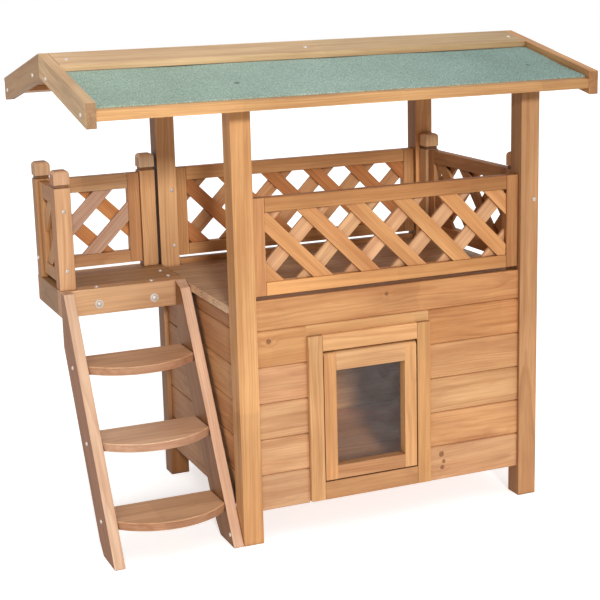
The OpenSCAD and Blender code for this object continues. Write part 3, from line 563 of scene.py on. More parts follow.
def timber_material(name, early, late, knot, spacing, along, knots, joints):
    """Sawn softwood. The distance from the heart, bent by slow noise along the grain,
    gives growth rings that darken slowly to the late wood and break off sharply, and
    fade in and out along the board; stretched noise at three widths gives the fibres and
    the soft dark streaks; blocks of the length of a finger joint differ in tone; a knot
    is a dark core with the rings bent round it; where the surface faces along the grain
    it is sawn end wood, greyer and darker; edges are lightened, rubbed wear with a painted
    highlight, and corners and gaps between parts are darkened with painted shade."""
    g = Graph(bpy.data.materials.new(name))
    if along is None:
        place, tint, run = g.attribute("grain"), g.attribute("tint"), g.attribute("run")
    else:
        first = "xyz".index(along)
        parts = g.split(g.place())
        place = g.join(parts[first], g.add(parts[(first + 1) % 3], 0.043),
                       g.add(parts[(first + 2) % 3], 0.031))
        tint, run = PLAIN, UNIT[along]
    a, p, q = g.split(place)

    def streaky(long, wide, detail, roughness):
        """Noise that is stretched along the grain."""
        stretched = g.join(g.times(a, long), g.times(p, wide), g.times(q, wide))
        return g.noise(stretched, 1, detail, roughness)

    def swing(long, wide, size):
        """Stretched noise about zero, of a given size."""
        return g.times(g.math("SUBTRACT", streaky(long, wide, 3, 0.55), 0.5), size)

    jitter = swing(11, 60, 0.0034)
    p = g.add(p, swing(3.1, 13, 0.020))
    q = g.add(q, swing(1.1, 4, 0.030))
    heart = g.add(g.vector("LENGTH", g.join(0.0, p, q)), jitter)
    core = bends = 0.0
    for at, radius in knots:
        centre = tuple(ORIGIN + np.array(at) * MM)
        offset = g.vector("MULTIPLY", g.vector("SUBTRACT", g.place(), centre), KNOT_SQUASH)
        uneven = g.math("MULTIPLY_ADD", g.noise(g.place(), 260, 2, 0.5), 0.7, 0.65)
        far = g.math("DIVIDE", g.times(g.vector("LENGTH", offset), uneven), radius)
        bend = g.math("POWER", KNOT_BASE, g.times(g.times(far, far), -0.16))
        bends = g.add(bends, g.times(bend, radius * 1.3))
        shell = g.steps(far, (0.0, 0.62), (0.40, 0.92), (0.75, 0.70), (1.0, 0.88), (1.25, 0.25),
                        (1.9, 0.0))
        core = g.math("MAXIMUM", core, shell)
    years = g.math("DIVIDE", g.add(heart, bends), spacing)
    band = g.steps(g.math("FRACT", years), (0.0, 0.12), (0.28, 0.0), (0.58, 0.36), (0.84, 1.0),
                   (0.93, 0.85), (1.0, 0.12))
    year = g.random(g.math("FLOOR", years))
    band = g.times(band, g.math("MULTIPLY_ADD", year, 0.95, 0.15))
    band = g.times(band, g.steps(streaky(2.6, 14, 2, 0.5), (0.36, 0.28), (0.60, 1.0)))
    fibre = streaky(16, 1500, 3, 0.6)
    streak = streaky(4.5, 230, 2, 0.55)
    broad = streaky(2.4, 84, 3, 0.6)
    cloud = streaky(6.5, 26, 3, 0.55)
    dusk = tuple(0.5 * x + 0.5 * y * z for x, y, z in zip(late, early, (0.72, 0.52, 0.40)))
    colour = g.mix(g.times(band, 0.58), early, late)
    colour = g.mix(g.steps(streak, (0.42, 0.0), (0.74, 0.42)), colour, late)
    colour = g.mix(g.steps(broad, (0.45, 0.0), (0.72, 0.62)), colour, dusk)
    colour = g.mix(g.steps(fibre, (0.46, 0.0), (0.80, 0.26)), colour, late)
    colour = g.tinted(colour, g.steps(cloud, (0.28, (0.84, 0.80, 0.78)), (0.50, PLAIN),
                                      (0.74, (1.13, 1.15, 1.16))))
    if joints:
        saw = g.math("PINGPONG", g.add(p, g.times(q, 0.02)), FINGER_WIDE)
        block = g.math("FLOOR", g.math("DIVIDE", g.math("MULTIPLY_ADD", saw, 3.4, a), FINGER_BLOCK))
        tone = g.math("MULTIPLY_ADD", g.random(block), joints, 1 - joints / 2)
        pink = g.math("MULTIPLY_ADD", g.random(g.add(block, 0.37)), joints * 0.24,
                      1 - joints * 0.12)
        blue = g.times(tone, g.math("POWER", pink, 1.7))
        colour = g.tinted(colour, g.join(tone, g.times(tone, pink), blue))
    colour = g.tinted(colour, tint)
    ends = g.math("ABSOLUTE", g.vector("DOT_PRODUCT", g.place("Normal"), run))
    pores = g.steps(g.noise(g.place(), 900, 2, 0.6), (0.35, (0.50, 0.44, 0.42)),
                    (0.65, (0.80, 0.75, 0.75)))
    colour = g.mix(g.steps(ends, (0.78, 0.0), (0.93, 1.0)), colour, g.tinted(colour, pores))
    if knots:
        colour = g.mix(core, colour, knot)
    # Rubbed wear with a painted highlight: the colour lightens along edges, in patches
    rounded = g.node("ShaderNodeBevel", {"Radius": HIGHLIT_EDGE_REACH}, samples=6).outputs["Normal"]
    flat = g.node("ShaderNodeNewGeometry", {}).outputs["Normal"]
    edge = g.steps(g.vector("DOT_PRODUCT", rounded, flat), (0.86, 1.0), (0.985, 0.0))
    rubbed_and_highlit = g.times(edge, g.steps(cloud, (0.38, 0.15), (0.62, 0.75)))
    colour = g.mix(rubbed_and_highlit, colour, g.tinted(colour, (1.22, 1.26, 1.34)))
    # Painted shade: the colour darkens in corners and where parts meet, by ambient occlusion
    corner = g.node("ShaderNodeAmbientOcclusion", {"Distance": CORNER_SHADE_REACH}, samples=6)
    corner_shade = g.steps(corner.outputs["AO"], (0.25, (0.40, 0.30, 0.22)), (0.72, PLAIN))
    relief = g.add(g.times(band, 0.5), fibre)
    return g.shade({"Base Color": g.tinted(colour, corner_shade), "Specular IOR Level": 0.18,
                    "Roughness": g.math("MULTIPLY_ADD", fibre, 0.22, 0.42),
                    "Normal": g.bump(relief, 0.35, 0.00022)})


def felt_material(name, dark, light, size):
    """Mineral felt: each granule is a cell with its own shade between dark and light, a
    few are near white, broad patches vary, the left end is lighter and the right end
    darker as painted light and shade, and the cells stand up. Small dark marks show where
    granules are rubbed off."""
    g = Graph(bpy.data.materials.new(name))
    place = g.place()
    cell = g.node("ShaderNodeTexVoronoi", {"Vector": place, "Scale": 1 / size}).outputs
    shade = g.math("FRACT", g.times(g.split(cell["Color"])[0], 7.3))
    middle = tuple(0.55 * a + 0.45 * b for a, b in zip(dark, light))
    patch = g.noise(place, 9, 4, 0.6)
    # Painted light and shade: lighter at the left end of the roof, darker at the right
    painted_light_falloff = g.math("MULTIPLY_ADD", g.split(place)[0], 1.3, 0.5)
    colour = g.steps(shade, (0.0, dark), (0.35, middle), (0.80, light), (0.955, light),
                     (0.985, (0.58, 0.66, 0.60)), (1.0, (0.72, 0.77, 0.71)))
    colour = g.tinted(colour, g.steps(patch, (0.3, 0.90), (0.7, 1.08)))
    colour = g.tinted(colour, g.steps(painted_light_falloff, (0.1, (1.06, 1.04, 1.0)),
                                      (0.55, (1.04, 1.04, 1.06)), (0.85, (0.76, 0.80, 0.83))))
    for x, y in FELT_MARKS:
        mark = tuple(ORIGIN + np.array((x, y, 0)) * MM)
        level = g.vector("MULTIPLY", g.vector("SUBTRACT", place, mark), (1, 1, 0))
        far = g.times(g.vector("LENGTH", level), 140.0)
        colour = g.mix(g.steps(far, (0.3, 0.85), (0.7, 0.0)), colour, (0.07, 0.08, 0.07))
    colour = g.tinted(colour, g.steps(g.noise(place, 420, 2, 0.5), (0.3, 0.8), (0.7, 1.15)))
    lumps = g.bump(g.math("SUBTRACT", 1.0, cell["Distance"]), 0.75, 0.0006)
    return g.shade({"Base Color": colour, "Roughness": 0.93, "Specular IOR Level": 0.2,
                    "Normal": g.bump(patch, 0.4, 0.004, lumps)})


def metal_material(name, tone):
    """Dull zinc coat, a little cloudy, with a fine grain."""
    g = Graph(bpy.data.materials.new(name))
    cloud = g.noise(g.place(), 700, 3, 0.6)
    colour = g.mix(g.steps(cloud, (0.3, 0.0), (0.7, 1.0)), tone, tuple(0.72 * t for t in tone))
    return g.shade({"Base Color": colour, "Metallic": 0.25,
                    "Roughness": g.math("MULTIPLY_ADD", cloud, 0.25, 0.36),
                    "Normal": g.bump(g.noise(g.place(), 2600, 2, 0.5), 0.15, 0.00008)})


def pane_material(name):
    """Clear sheet: mostly see-through, with a thin warm haze that thickens in scuffs."""
    g = Graph(bpy.data.materials.new(name))
    scuff = g.noise(g.place(), 60, 4, 0.7)
    return g.shade({"Base Color": (0.66, 0.60, 0.57),
                    "Roughness": g.steps(scuff, (0.45, 0.06), (0.75, 0.22)),
                    "Alpha": g.steps(scuff, (0.40, 0.05), (0.80, 0.09)),
                    "Normal": g.bump(scuff, 0.05, 0.0003)})


MATERIALS = {}


def timber(kind):
    """Timber material of a kind, made once. The kind's first word is its tone. The
    others say that it has finger joints or knots, or name the axis of its grain, for a
    CAD node without the attributes."""
    if kind not in MATERIALS:
        chosen = bpy.context.scene.cat_house_timber
        words = kind.split("_")
        tone = np.array(TONES[words[0]])
        MATERIALS[kind] = timber_material(
            "Timber " + " ".join(words), tuple(np.array(chosen.golden) * tone),
            tuple(np.array(chosen.amber) * tone), tuple(chosen.knot), chosen.ring_spacing,
            along=words[-1] if words[-1] in UNIT else None, knots=KNOTS if "knots" in words else (),
            joints=0.12 if "jointed" in words else 0.0)
    return MATERIALS[kind]


def make_materials():
    """The felt, the metal and the clear sheet."""
    roof = bpy.context.scene.cat_house_roof
    MATERIALS["felt"] = felt_material("Roofing felt", tuple(roof.granule_dark),
                                      tuple(roof.granule_light), roof.granule_size)
    MATERIALS["zinc"] = metal_material("Zinc plate", tuple(roof.zinc))
    MATERIALS["pane"] = pane_material("Clear sheet")


# pieces


def slope_top(y):
    """Height of the plane of the barge tops over a point: the ridge less the slope's
    tangent times the distance from the ridge."""
    return RIDGE_Z - np.abs(RIDGE_Y - np.asarray(y, float)) * math.tan(SLOPE)


def round_mm():
    """Radius of the eased edges, in millimetres."""
    return bpy.context.scene.cat_house_timber.edge_round / MM


def block(low, high, along):
    """Block with all its edges eased."""
    u, v, w = AXES[along]
    outline = softened(box_outline((low[u], low[v]), (high[u], high[v])), round_mm() * 1.1)
    return bar(outline, low[w], high[w], along, round_mm())


def single(name, seed, solid, grain, tint, **more):
    """Piece of one timber that stands for the CAD node of that name."""
    piece = Piece(name + "_timber", seed)
    piece.add(solid, grain, tint, **more)
    return piece


def make_blocks(rows):
    """Straight timbers. A row has the node, the seed, the axis of the grain, the tint,
    its factor at the far end, the kind and the slot."""
    for name, seed, along, tint, fade, kind, slot in rows:
        piece = single(name, seed, block(*reach(name), along), along, tint,
                       far=np.array(tint) * fade)
        piece.finish(timber(kind), [name], slot)


def board_outline(low, high, face, back, bevel, groove=True, tongue=True):
    """Cross-section of a tongue-and-groove board in (depth, height): the face at one
    depth, bevels along its seams, a groove below and a tongue above."""
    thick = abs(back - face)
    step = 1 if back > face else -1
    middle = thick / 2
    points = [(bevel, low)]
    if groove:
        near, far = middle - GROOVE_HALF, middle + GROOVE_HALF
        points += [(near, low), (near, low + GROOVE_DEEP), (far, low + GROOVE_DEEP), (far, low)]
    points += [(thick, low), (thick, high)]
    if tongue:
        near, far, tip = middle - TONGUE_HALF, middle + TONGUE_HALF, high + TONGUE_REACH
        points += [(far, high), (far, tip), (near, tip), (near, high)]
    top_bevel = bevel if tongue else bevel * 0.4
    points += [(top_bevel, high), (0, high - top_bevel), (0, low + bevel)]
    outline = np.array(points) * (step, 1) + (face, 0)
    return outline if step > 0 else outline[::-1]


def wall_rows(low, high, face, back):
    """Row number, lower and upper edge and outline of the boards of a wall."""
    bevel = bpy.context.scene.cat_house_timber.seam_bevel / MM
    for row in range(WALL_ROWS):
        last = row == WALL_ROWS - 1
        start = low + row * BOARD
        end = high if last else start + BOARD - JOINT
        yield row, start, end, board_outline(start, end, face, back, bevel, tongue=not last)


def make_posts():
    """Corner posts, cut off to the slope of the roof, with tints for the foot, the top
    and the left side. The left side's tint is painted shade; the back left post's dark foot
    is painted shade under the landing, and its light top is painted light."""
    ease = round_mm()
    for name, seed, foot, top, side, kind, slot in (
            ("post_front_left", 11, (0.95, 0.86, 0.79), (1.06, 1.05, 0.98), (0.90, 0.83, 0.72),
             "golden_jointed", "golden_wood"),
            ("post_front_right", 12, (0.76, 0.70, 0.70), (0.71, 0.69, 0.70), (0.58, 0.53, 0.50),
             "golden", "golden_wood"),
            # Painted shade at the foot under the landing, and painted light at the top
            ("post_back_left", 13, (0.30, 0.22, 0.15), (1.36, 1.42, 1.52), (0.36, 0.27, 0.19),
             "golden", "honey_wood"),
            ("post_back_right", 14, (1.15, 1.12, 1.08), (1.35, 1.33, 1.28), (0.66, 0.58, 0.52),
             "honey_jointed", "honey_wood")):
        low, high = reach(name)
        drop = slope_top(low[1] if low[1] > RIDGE_Y else high[1]) - high[2]

        def sloped(x, y, drop=drop):
            """Height of the post's top over a point."""
            return slope_top(y) - drop

        outline = softened(box_outline(low[:2], high[:2]), ease * 1.1)
        piece = single(name, seed, bar(outline, low[2], sloped, "z", ease), "z", foot, far=top)
        # Painted shade on the left side of the post
        piece.tint[0][piece.places[0][:, 0] < low[0] + 0.02] = side
        piece.finish(timber(kind), [name], slot)


def make_front_wall():
    """Boards of the front wall, split round the door frame, with the grain running on. A
    row's tints run from left to right, and the top row darkens towards its right end,
    a painted shadow of the railing."""
    tints = (((0.84, 0.87, 1.02), (0.88, 0.86, 0.95)),
             ((0.90, 0.95, 1.05), (0.89, 0.83, 0.80)),
             ((0.93, 0.94, 1.05), (0.96, 0.97, 1.01)),
             ((0.88, 0.84, 0.91), (0.86, 0.83, 0.82)),
             ((1.0, 0.92, 0.86), (0.94, 0.97, 0.96), (0.80, 0.69, 0.60)),
             ((1.03, 0.98, 0.94),))
    low, high = reach("front_boards_left")
    right, top = reach("front_boards_top")[1][[0, 2]]
    gap_left, gap_right = high[0], reach("front_boards_right")[0][0]
    frame_top = reach("door_head")[1][2]
    piece = Piece("front_wall_boards", 21)
    for row, start, end, outline in wall_rows(low[2], top, low[1], high[1]):
        heart, tilt = piece.draw.uniform(-20, 20), piece.draw.normal(0, 0.02, 2)
        depth = piece.draw.uniform(12, 34)
        if start >= frame_top:
            spans = [(low[0], right, outline)]
        else:
            spans = [(low[0], gap_left, outline), (gap_right, right, outline)]
            if end > frame_top:
                bevel = bpy.context.scene.cat_house_timber.seam_bevel / MM
                over = board_outline(frame_top, end, low[1], high[1], bevel, groove=False)
                over[0, 0], over[-1, 1] = low[1], frame_top
                spans.insert(1, (gap_left, gap_right, over))
        for (a, b, shape), tint in zip(spans, tints[row]):
            # Painted shadow of the railing: the top row darkens towards its right end
            far = np.array(tint) * (0.74, 0.66, 0.60) if row == WALL_ROWS - 1 else None
            piece.add(bar(shape, a, b), "x", tint, (depth, heart), tilt, far)
    piece.finish(timber("golden_jointed_knots"),
                 ["front_boards_left", "front_boards_right", "front_boards_top"],
                 "golden_wood", smooth=30)


def make_other_walls():
    """Boards of the two side walls and the back wall. The side walls are lighter at their front ends
    and darker towards the back: painted light and shade.
    """
    for name, seed, along, outer in (("left_wall_boards", 22, "y", 0),
                                     ("right_wall_boards", 23, "y", 1),
                                     ("back_wall_boards", 24, "x", 1)):
        ends = reach(name)
        run = "xyz".index(along)
        face, back = ends[outer][1 - run], ends[1 - outer][1 - run]
        piece = Piece(name + "_timber", seed)
        for row, _, _, outline in wall_rows(ends[0][2], ends[1][2], face, back):
            tint, far = DEEP if row % 2 else PLAIN, None
            # Painted light and shade: side wall boards lighter at the front, darker towards the back
            if along == "y":
                base = np.array((0.80, 0.67, 0.63) if row % 3 == 1 else (0.86, 0.75, 0.73))
                front = (0.94, 0.94, 0.90) if row == WALL_ROWS - 1 else (1.28, 1.42, 1.52)
                tint, far = base * front, base * 0.85
            piece.add(bar(outline, ends[0][run], ends[1][run], along), along, tint, far=far)
        piece.finish(timber("honey"), [name], "brown_wood", smooth=30)


def make_door_frame():
    """Jambs, head and sill round the doorway."""
    make_blocks((name, seed, along, tint, 1, "golden_jointed", "golden_wood")
                for name, seed, along, tint in (
                    ("door_jamb_left", 31, "z", (1.0, 1.02, 1.01)),
                    ("door_jamb_right", 32, "z", (0.92, 0.84, 0.74)),
                    ("door_head", 33, "x", (1.05, 1.06, 1.04)),
                    ("door_sill", 34, "x", (0.72, 0.65, 0.62))))


def make_door():
    """Swing door: stiles and rails with a full-round top edge, and the clear pane."""
    ease = round_mm()
    low, high = reach("door_stile_left")
    radius = (high[1] - low[1]) / 2
    arc = np.linspace(0, math.pi, 15)
    crown = np.stack([(low[1] + high[1]) / 2 + radius * np.cos(arc),
                      high[2] - radius + radius * np.sin(arc)], 1)

    def edge_outline(bottom):
        """Rectangle from the bottom up, closed by a half circle round the pivot line. The
        two corners at the bottom are kept of a softened foot that opens upwards."""
        foot = softened([(low[1] - 5, bottom + 9), (low[1], bottom), (high[1], bottom),
                         (high[1] + 5, bottom + 9)], ease)[4:12]
        return np.vstack([foot, crown])

    inner = high[0], reach("door_stile_right")[0][0]
    for name, seed, along, tint in (
            ("door_stile_left", 41, "z", (0.95, 0.87, 0.81)),
            ("door_stile_right", 42, "z", (1.18, 1.16, 1.12)),
            ("door_top_rail", 43, "x", (0.95, 0.98, 1.03)),
            ("door_bottom_rail", 44, "x", (0.78, 0.72, 0.74))):
        a, b = reach(name)
        shape = edge_outline(a[2])
        if name == "door_bottom_rail":
            shape = softened(box_outline((a[1], a[2]), (b[1], b[2])), ease)
        solid = bar(shape, *inner) if along == "x" else bar(shape, a[0], b[0], "x", 0.6)
        single(name, seed, solid, along, tint).finish(
            timber("golden_jointed"), [name], "golden_wood", "door")
    low, high = reach("door_pane")
    piece = Piece("door_pane_sheet", 45)
    piece.add(bar(box_outline((low[0], low[2]), (high[0], high[2])), low[1], high[1], "y"))
    piece.finish(MATERIALS["pane"], ["door_pane"], "clear_pane", "door", weighted=False)


def deck_rows(front, back, first):
    """Front and back edges of the deck boards between two edges, the first one ripped.
    The last one takes up what is left, and may be wider than a board by the spare."""
    spare = 10.3
    edges = [(front, front + first - JOINT)]
    start = front + first
    while back - start > BOARD + spare:
        edges.append((start, start + BOARD - JOINT))
        start += BOARD
    return edges + [(start, back)]


def make_decks():
    """Boards of the balcony and landing decks, with tinted left ends. The balcony's
    outer ones are notched round the posts, so they have two plain strips each."""
    caps = ((1.9, 2.05, 2.1), PLAIN)
    for name, seed, first, tint, plain_rows in (
            ("balcony_deck", 51, BALCONY_FIRST, (1.32, 1.78, 2.45), 2),
            ("landing_deck", 52, LANDING_FIRST, (1.06, 1.28, 1.52), 1)):
        low, high = reach(name)
        piece = Piece(name + "_timber", seed)
        rows = deck_rows(low[1], high[1], first)
        for row, (near, far) in enumerate(rows):
            last = row == len(rows) - 1
            if name == "balcony_deck" and (row == 0 or last):
                notch = DEPTH - POST if last else POST
                strips = [(near, notch), (notch, far)]
                outer, inner = strips[::-1] if last else strips
                for (a, b), span, rounding, ends in (
                        (outer, (POST, WIDTH - POST), (0, 3), None),
                        (inner, (low[0], high[0]), (0.6, 2), caps)):
                    solid = bar(box_outline((a, low[2]), (b, high[2])), *span, "x", *rounding)
                    piece.add(solid, "x", tint, (24, 8), (0.01, 0.004), caps=ends)
            else:
                shape = board_outline(near, far, high[2], low[2], 0.9, row >= plain_rows, not last)
                piece.add(bar(shape[:, ::-1], low[0], high[0], "x", 0.6, 2), "x", tint, caps=caps)
        piece.finish(timber("brown"), [name], "brown_wood", smooth=30)


def lattice_slats(start, angle, opening):
    """Outline and direction of the slats of one layer in the panel's plane: strips at an
    angle whose middles lie a pitch apart, each cut off by the sides of the opening."""
    (left, low), (right, high) = opening
    longest, smallest = 300, 4
    half_run = (high - low) / 2
    first = math.ceil((left - half_run - start) / PITCH)
    last = math.floor((right + half_run - start) / PITCH)
    along = np.array([math.cos(angle), math.sin(angle)])
    across = np.array([-along[1], along[0]])
    strip_ends = box_outline((-longest, -SLAT_WIDE / 2), (longest, SLAT_WIDE / 2))
    for count in range(first, last + 1):
        centre = np.array([start + count * PITCH, (low + high) / 2])
        strip = np.array([centre + along * a + across * b for a, b in strip_ends])
        for normal, limit in (((-1, 0), -left), ((1, 0), right), ((0, -1), -low), ((0, 1), high)):
            strip = clip(strip, normal, limit) if len(strip) > 2 else strip
        if len(strip) > 2 and np.ptp(strip, axis=0).min() > smallest:
            yield softened(strip, 0.45, 2), along


def make_railing(name, seed, along, tone, tints, start=None, lean=-45, top_rail=TOP_RAIL,
                 fade=PLAIN):
    """Railing panel: two stiles, two rails and two crossed layers of slats. The tints are
    those of the left and right stile, the bottom and top rail and the two layers."""
    low, high = reach(name + "_frame")
    axis = "xyz".index(along)
    (left, near, base), (right, far, top) = (
        (corner[axis], corner[1 - axis], corner[2]) for corner in (low, high))
    opening = (left + STILE, base + BOTTOM_RAIL), (right - STILE, top - top_rail)

    def panel_bar(a, b, c, d, run):
        """Eased block over a span along the panel and a span of heights."""
        corners = ((a, near, c), (b, far, d)) if axis == 0 else ((near, a, c), (far, b, d))
        return block(*corners, run)

    piece = Piece(name + "_timber", seed)
    for a, b, tint in ((left, left + STILE, tints[0]), (right - STILE, right, tints[1])):
        piece.add(panel_bar(a, b, base, top, "z"), "z", tint)
    for c, d, tint in ((base, base + BOTTOM_RAIL, tints[2]), (top - top_rail, top, tints[3])):
        solid = panel_bar(left + STILE + JOINT, right - STILE - JOINT, c, d, along)
        piece.add(solid, along, tint, far=np.array(tint) * fade)
    piece.finish(timber(tone + "_jointed"), [name + "_frame"], tone + "_wood")

    middle = (near + far) / 2
    cross = (left + right - PITCH) / 2 if start is None else start
    slats = Piece(name + "_slats", seed + 50)
    for angle, side, tint in ((lean, -1, tints[4]), (-lean, 1, tints[5])):
        edges = sorted((middle + side * JOINT / 2, middle + side * (SLAT_THICK + JOINT / 2)))
        for outline, run in lattice_slats(cross, math.radians(angle), opening):
            direction = np.zeros(3)
            direction[[axis, 2]] = run
            slats.add(bar(outline, *edges, "yx"[axis], 0.4, 2), direction, tint)
    slats.finish(timber(tone), [name + "_lattice"], "honey_wood")


def make_railings():
    """The five railing panels."""
    make_railing("front_railing", 61, "x", "golden",
                 ((0.93, 0.84, 0.78), (0.66, 0.55, 0.47), (1.0, 0.90, 0.78), (0.84, 0.70, 0.58),
                  (0.93, 0.83, 0.72), (1.0, 1.01, 1.15)), start=91.5, fade=(0.74, 0.70, 0.66))
    make_railing("back_railing", 62, "x", "honey",
                 (PLAIN, PLAIN, PLAIN, (1.14, 1.14, 1.14), (0.92, 0.72, 0.6), (1.0, 1.0, 1.1)),
                 start=98.5)
    make_railing("right_railing", 63, "y", "honey",
                 (DARK, DARK, DARK, (0.72, 0.66, 0.60), DARK, DEEP), lean=45)
    make_railing("landing_back", 64, "x", "honey",
                 ((1.0, 0.95, 0.92), (1.0, 0.97, 1.0), (0.98, 1.0, 1.12), (1.02, 1.14, 1.38),
                  (1.0, 1.22, 2.0), (1.05, 0.85, 0.7)), lean=45, top_rail=LANDING_TOP_RAIL)
    make_railing("landing_side", 65, "y", "honey", (DARK, DEEP, DARK, DARK, DEEP, DARK),
                 top_rail=LANDING_TOP_RAIL)


def newel_solid(low, high):
    """Newel: a square with eased corners whose half width follows the height: shaft,
    groove, cap and rounded shoulders."""
    side = (high[0] - low[0]) / 2
    cap_low = high[2] - CAP
    groove_low = cap_low - GROOVE

    def quarter(radius, edge, upper, steps=4):
        """Quarter circle between the side and a level edge above or below it."""
        t = np.linspace(0, math.pi / 2, steps)
        if upper:
            return np.stack([side - radius + radius * np.cos(t), edge - radius + radius * np.sin(t)], 1)
        return np.stack([side - radius + radius * np.sin(t), edge + radius - radius * np.cos(t)], 1)

    profile = np.vstack([
        quarter(1.0, low[2], False), quarter(0.8, groove_low, True),
        [(side - GROOVE_CUT, groove_low), (side - GROOVE_CUT, cap_low)],
        quarter(0.8, cap_low, False), quarter(6.5, high[2], True, 9)])
    corner = softened(box_outline((-1, -1), (1, 1)), 0.12, 4)
    rings = np.empty((len(profile), len(corner), 3))
    rings[..., :2] = (low[:2] + high[:2]) / 2 + profile[:, :1, None] * corner
    rings[..., 2] = profile[:, 1:]
    return skin(rings)


def make_newels():
    """The five newel posts, with factors for the left side, the top end and the cap. The left side's
    factor is painted shade, the inner newel's lighter top end and the lighter caps are painted light,
    and the darkened groove is dirt and painted shade.
    """
    right = tuple(np.array(DEEP) * (1.16, 1.4, 1.8))
    for name, seed, tint, side, fade, crown, tone in (
            ("newel_right_front", 71, right, PLAIN, 1.0, (1.45, 1.5, 1.5), "honey"),
            ("newel_right_back", 72, right, PLAIN, 1.0, (1.45, 1.5, 1.5), "honey"),
            ("newel_landing_inner", 73, (0.97, 0.98, 1.02), (0.6, 0.5, 0.4), 1.45,
             (1.25, 1.65, 2.2), "golden"),
            ("newel_landing_back", 74, (0.86, 0.84, 0.82), (0.8, 0.75, 0.7), 1.0,
             (1.18, 1.4, 1.9), "honey"),
            ("newel_landing_front", 75, (1.02, 1.07, 1.22), (0.58, 0.42, 0.27), 1.0,
             (1.0, 1.04, 1.18), "golden")):
        low, high = reach(name)
        piece = single(name, seed, newel_solid(low, high), "z", tint, far=np.array(tint) * fade,
                       caps=(side, PLAIN))
        below = high[2] - piece.places[0][:, 2]
        cap = below <= CAP - 0.1
        # Dirt and painted shade in the groove under the cap
        piece.tint[0][~cap & (below < CAP + GROOVE + 0.1)] *= (0.42, 0.36, 0.32)
        # Painted light on the cap
        piece.tint[0][cap] *= crown
        piece.finish(timber(tone), [name], tone + "_wood", smooth=32)


def make_landing():
    """Fascia boards round the landing. The front one darkens towards its right end: painted shade."""
    make_blocks((
        # Painted shade: the front fascia darkens towards its right end
        ("landing_fascia_front", 81, "x", (1.10, 1.19, 1.36), (0.70, 0.65, 0.64),
         "golden_jointed", "golden_wood"),
        ("landing_fascia_left", 82, "y", (0.53, 0.52, 0.48), 1, "honey", "brown_wood"),
        ("landing_fascia_back", 83, "x", DEEP, 1, "honey", "brown_wood")))


def stringer_lean(low, high):
    """How far a stringer goes back for each millimetre that it goes up."""
    return (high[1] - low[1] - STRINGER_TOP) / high[2]


def make_ladder():
    """Two sloping stringers, darkened on their sides with painted shade, and three half-moon treads,
    darkened on their upright faces with painted shade.
    """
    ease = round_mm()
    for name, seed, tint, side, fall in (
            ("ladder_stringer_left", 91, (0.88, 1.02, 1.33), (0.47, 0.30, 0.19), 0.0),
            ("ladder_stringer_right", 92, (0.90, 1.04, 1.36), (0.43, 0.31, 0.18), 9.0)):
        low, high = reach(name)
        foot, back, top = low[1], high[1], high[2]
        lean = stringer_lean(low, high)
        heel = foot + STRINGER_FOOT
        outline = [(foot, 0), (heel - HEEL_WIDE, 0), (heel + HEEL_HIGH * lean, HEEL_HIGH),
                   (back, (back - heel) / lean), (back, top),
                   (foot + (top - fall) * lean, top - fall)]
        solid = bar(softened(outline, ease * 1.1), low[0], high[0], "x", ease)
        # Painted shade: the stringer's two sides are darker
        single(name, seed, solid, (0, lean, 1), tint, caps=(side, side)).finish(
            timber("pale"), [name], "pale_wood")
    for count, tint in enumerate(((1.0, 1.08, 1.30), (1.19, 1.36, 1.86), (1.01, 1.13, 1.46)), 1):
        name = f"ladder_tread_{count}"
        low, high = reach(name)
        half = (high[0] - low[0]) / 2
        radius = (half ** 2 + TREAD_BULGE ** 2) / (2 * TREAD_BULGE)
        sweep = math.asin(half / radius)
        turn = np.linspace(-sweep, sweep, 33)
        curve = np.stack([low[0] + half + radius * np.sin(turn),
                          low[1] + radius - radius * np.cos(turn)], 1)
        outline = np.vstack([curve, [[high[0], high[1]], [low[0], high[1]]]])
        piece = single(name, 93 + count, bar(outline, low[2], high[2], "z", 1.6, 4), "x", tint,
                       heart=(5, 38), tilt=(0.002, 0.004))
        from_middle = np.abs(piece.places[0][:, 2] - (low[2] + high[2]) / 2)
        # Painted shade: the tread's upright faces are darker than its top and underside
        piece.tint[0][from_middle < (high[2] - low[2]) / 2 - 1.5] *= (0.68, 0.60, 0.60)
        piece.finish(timber("golden_jointed"), [name], "honey_wood")


def slope_points(*points):
    """Outline in (y, z) from places across the roof and drops below the barge tops."""
    return np.array([(y, slope_top(y) - drop) for y, drop in points])


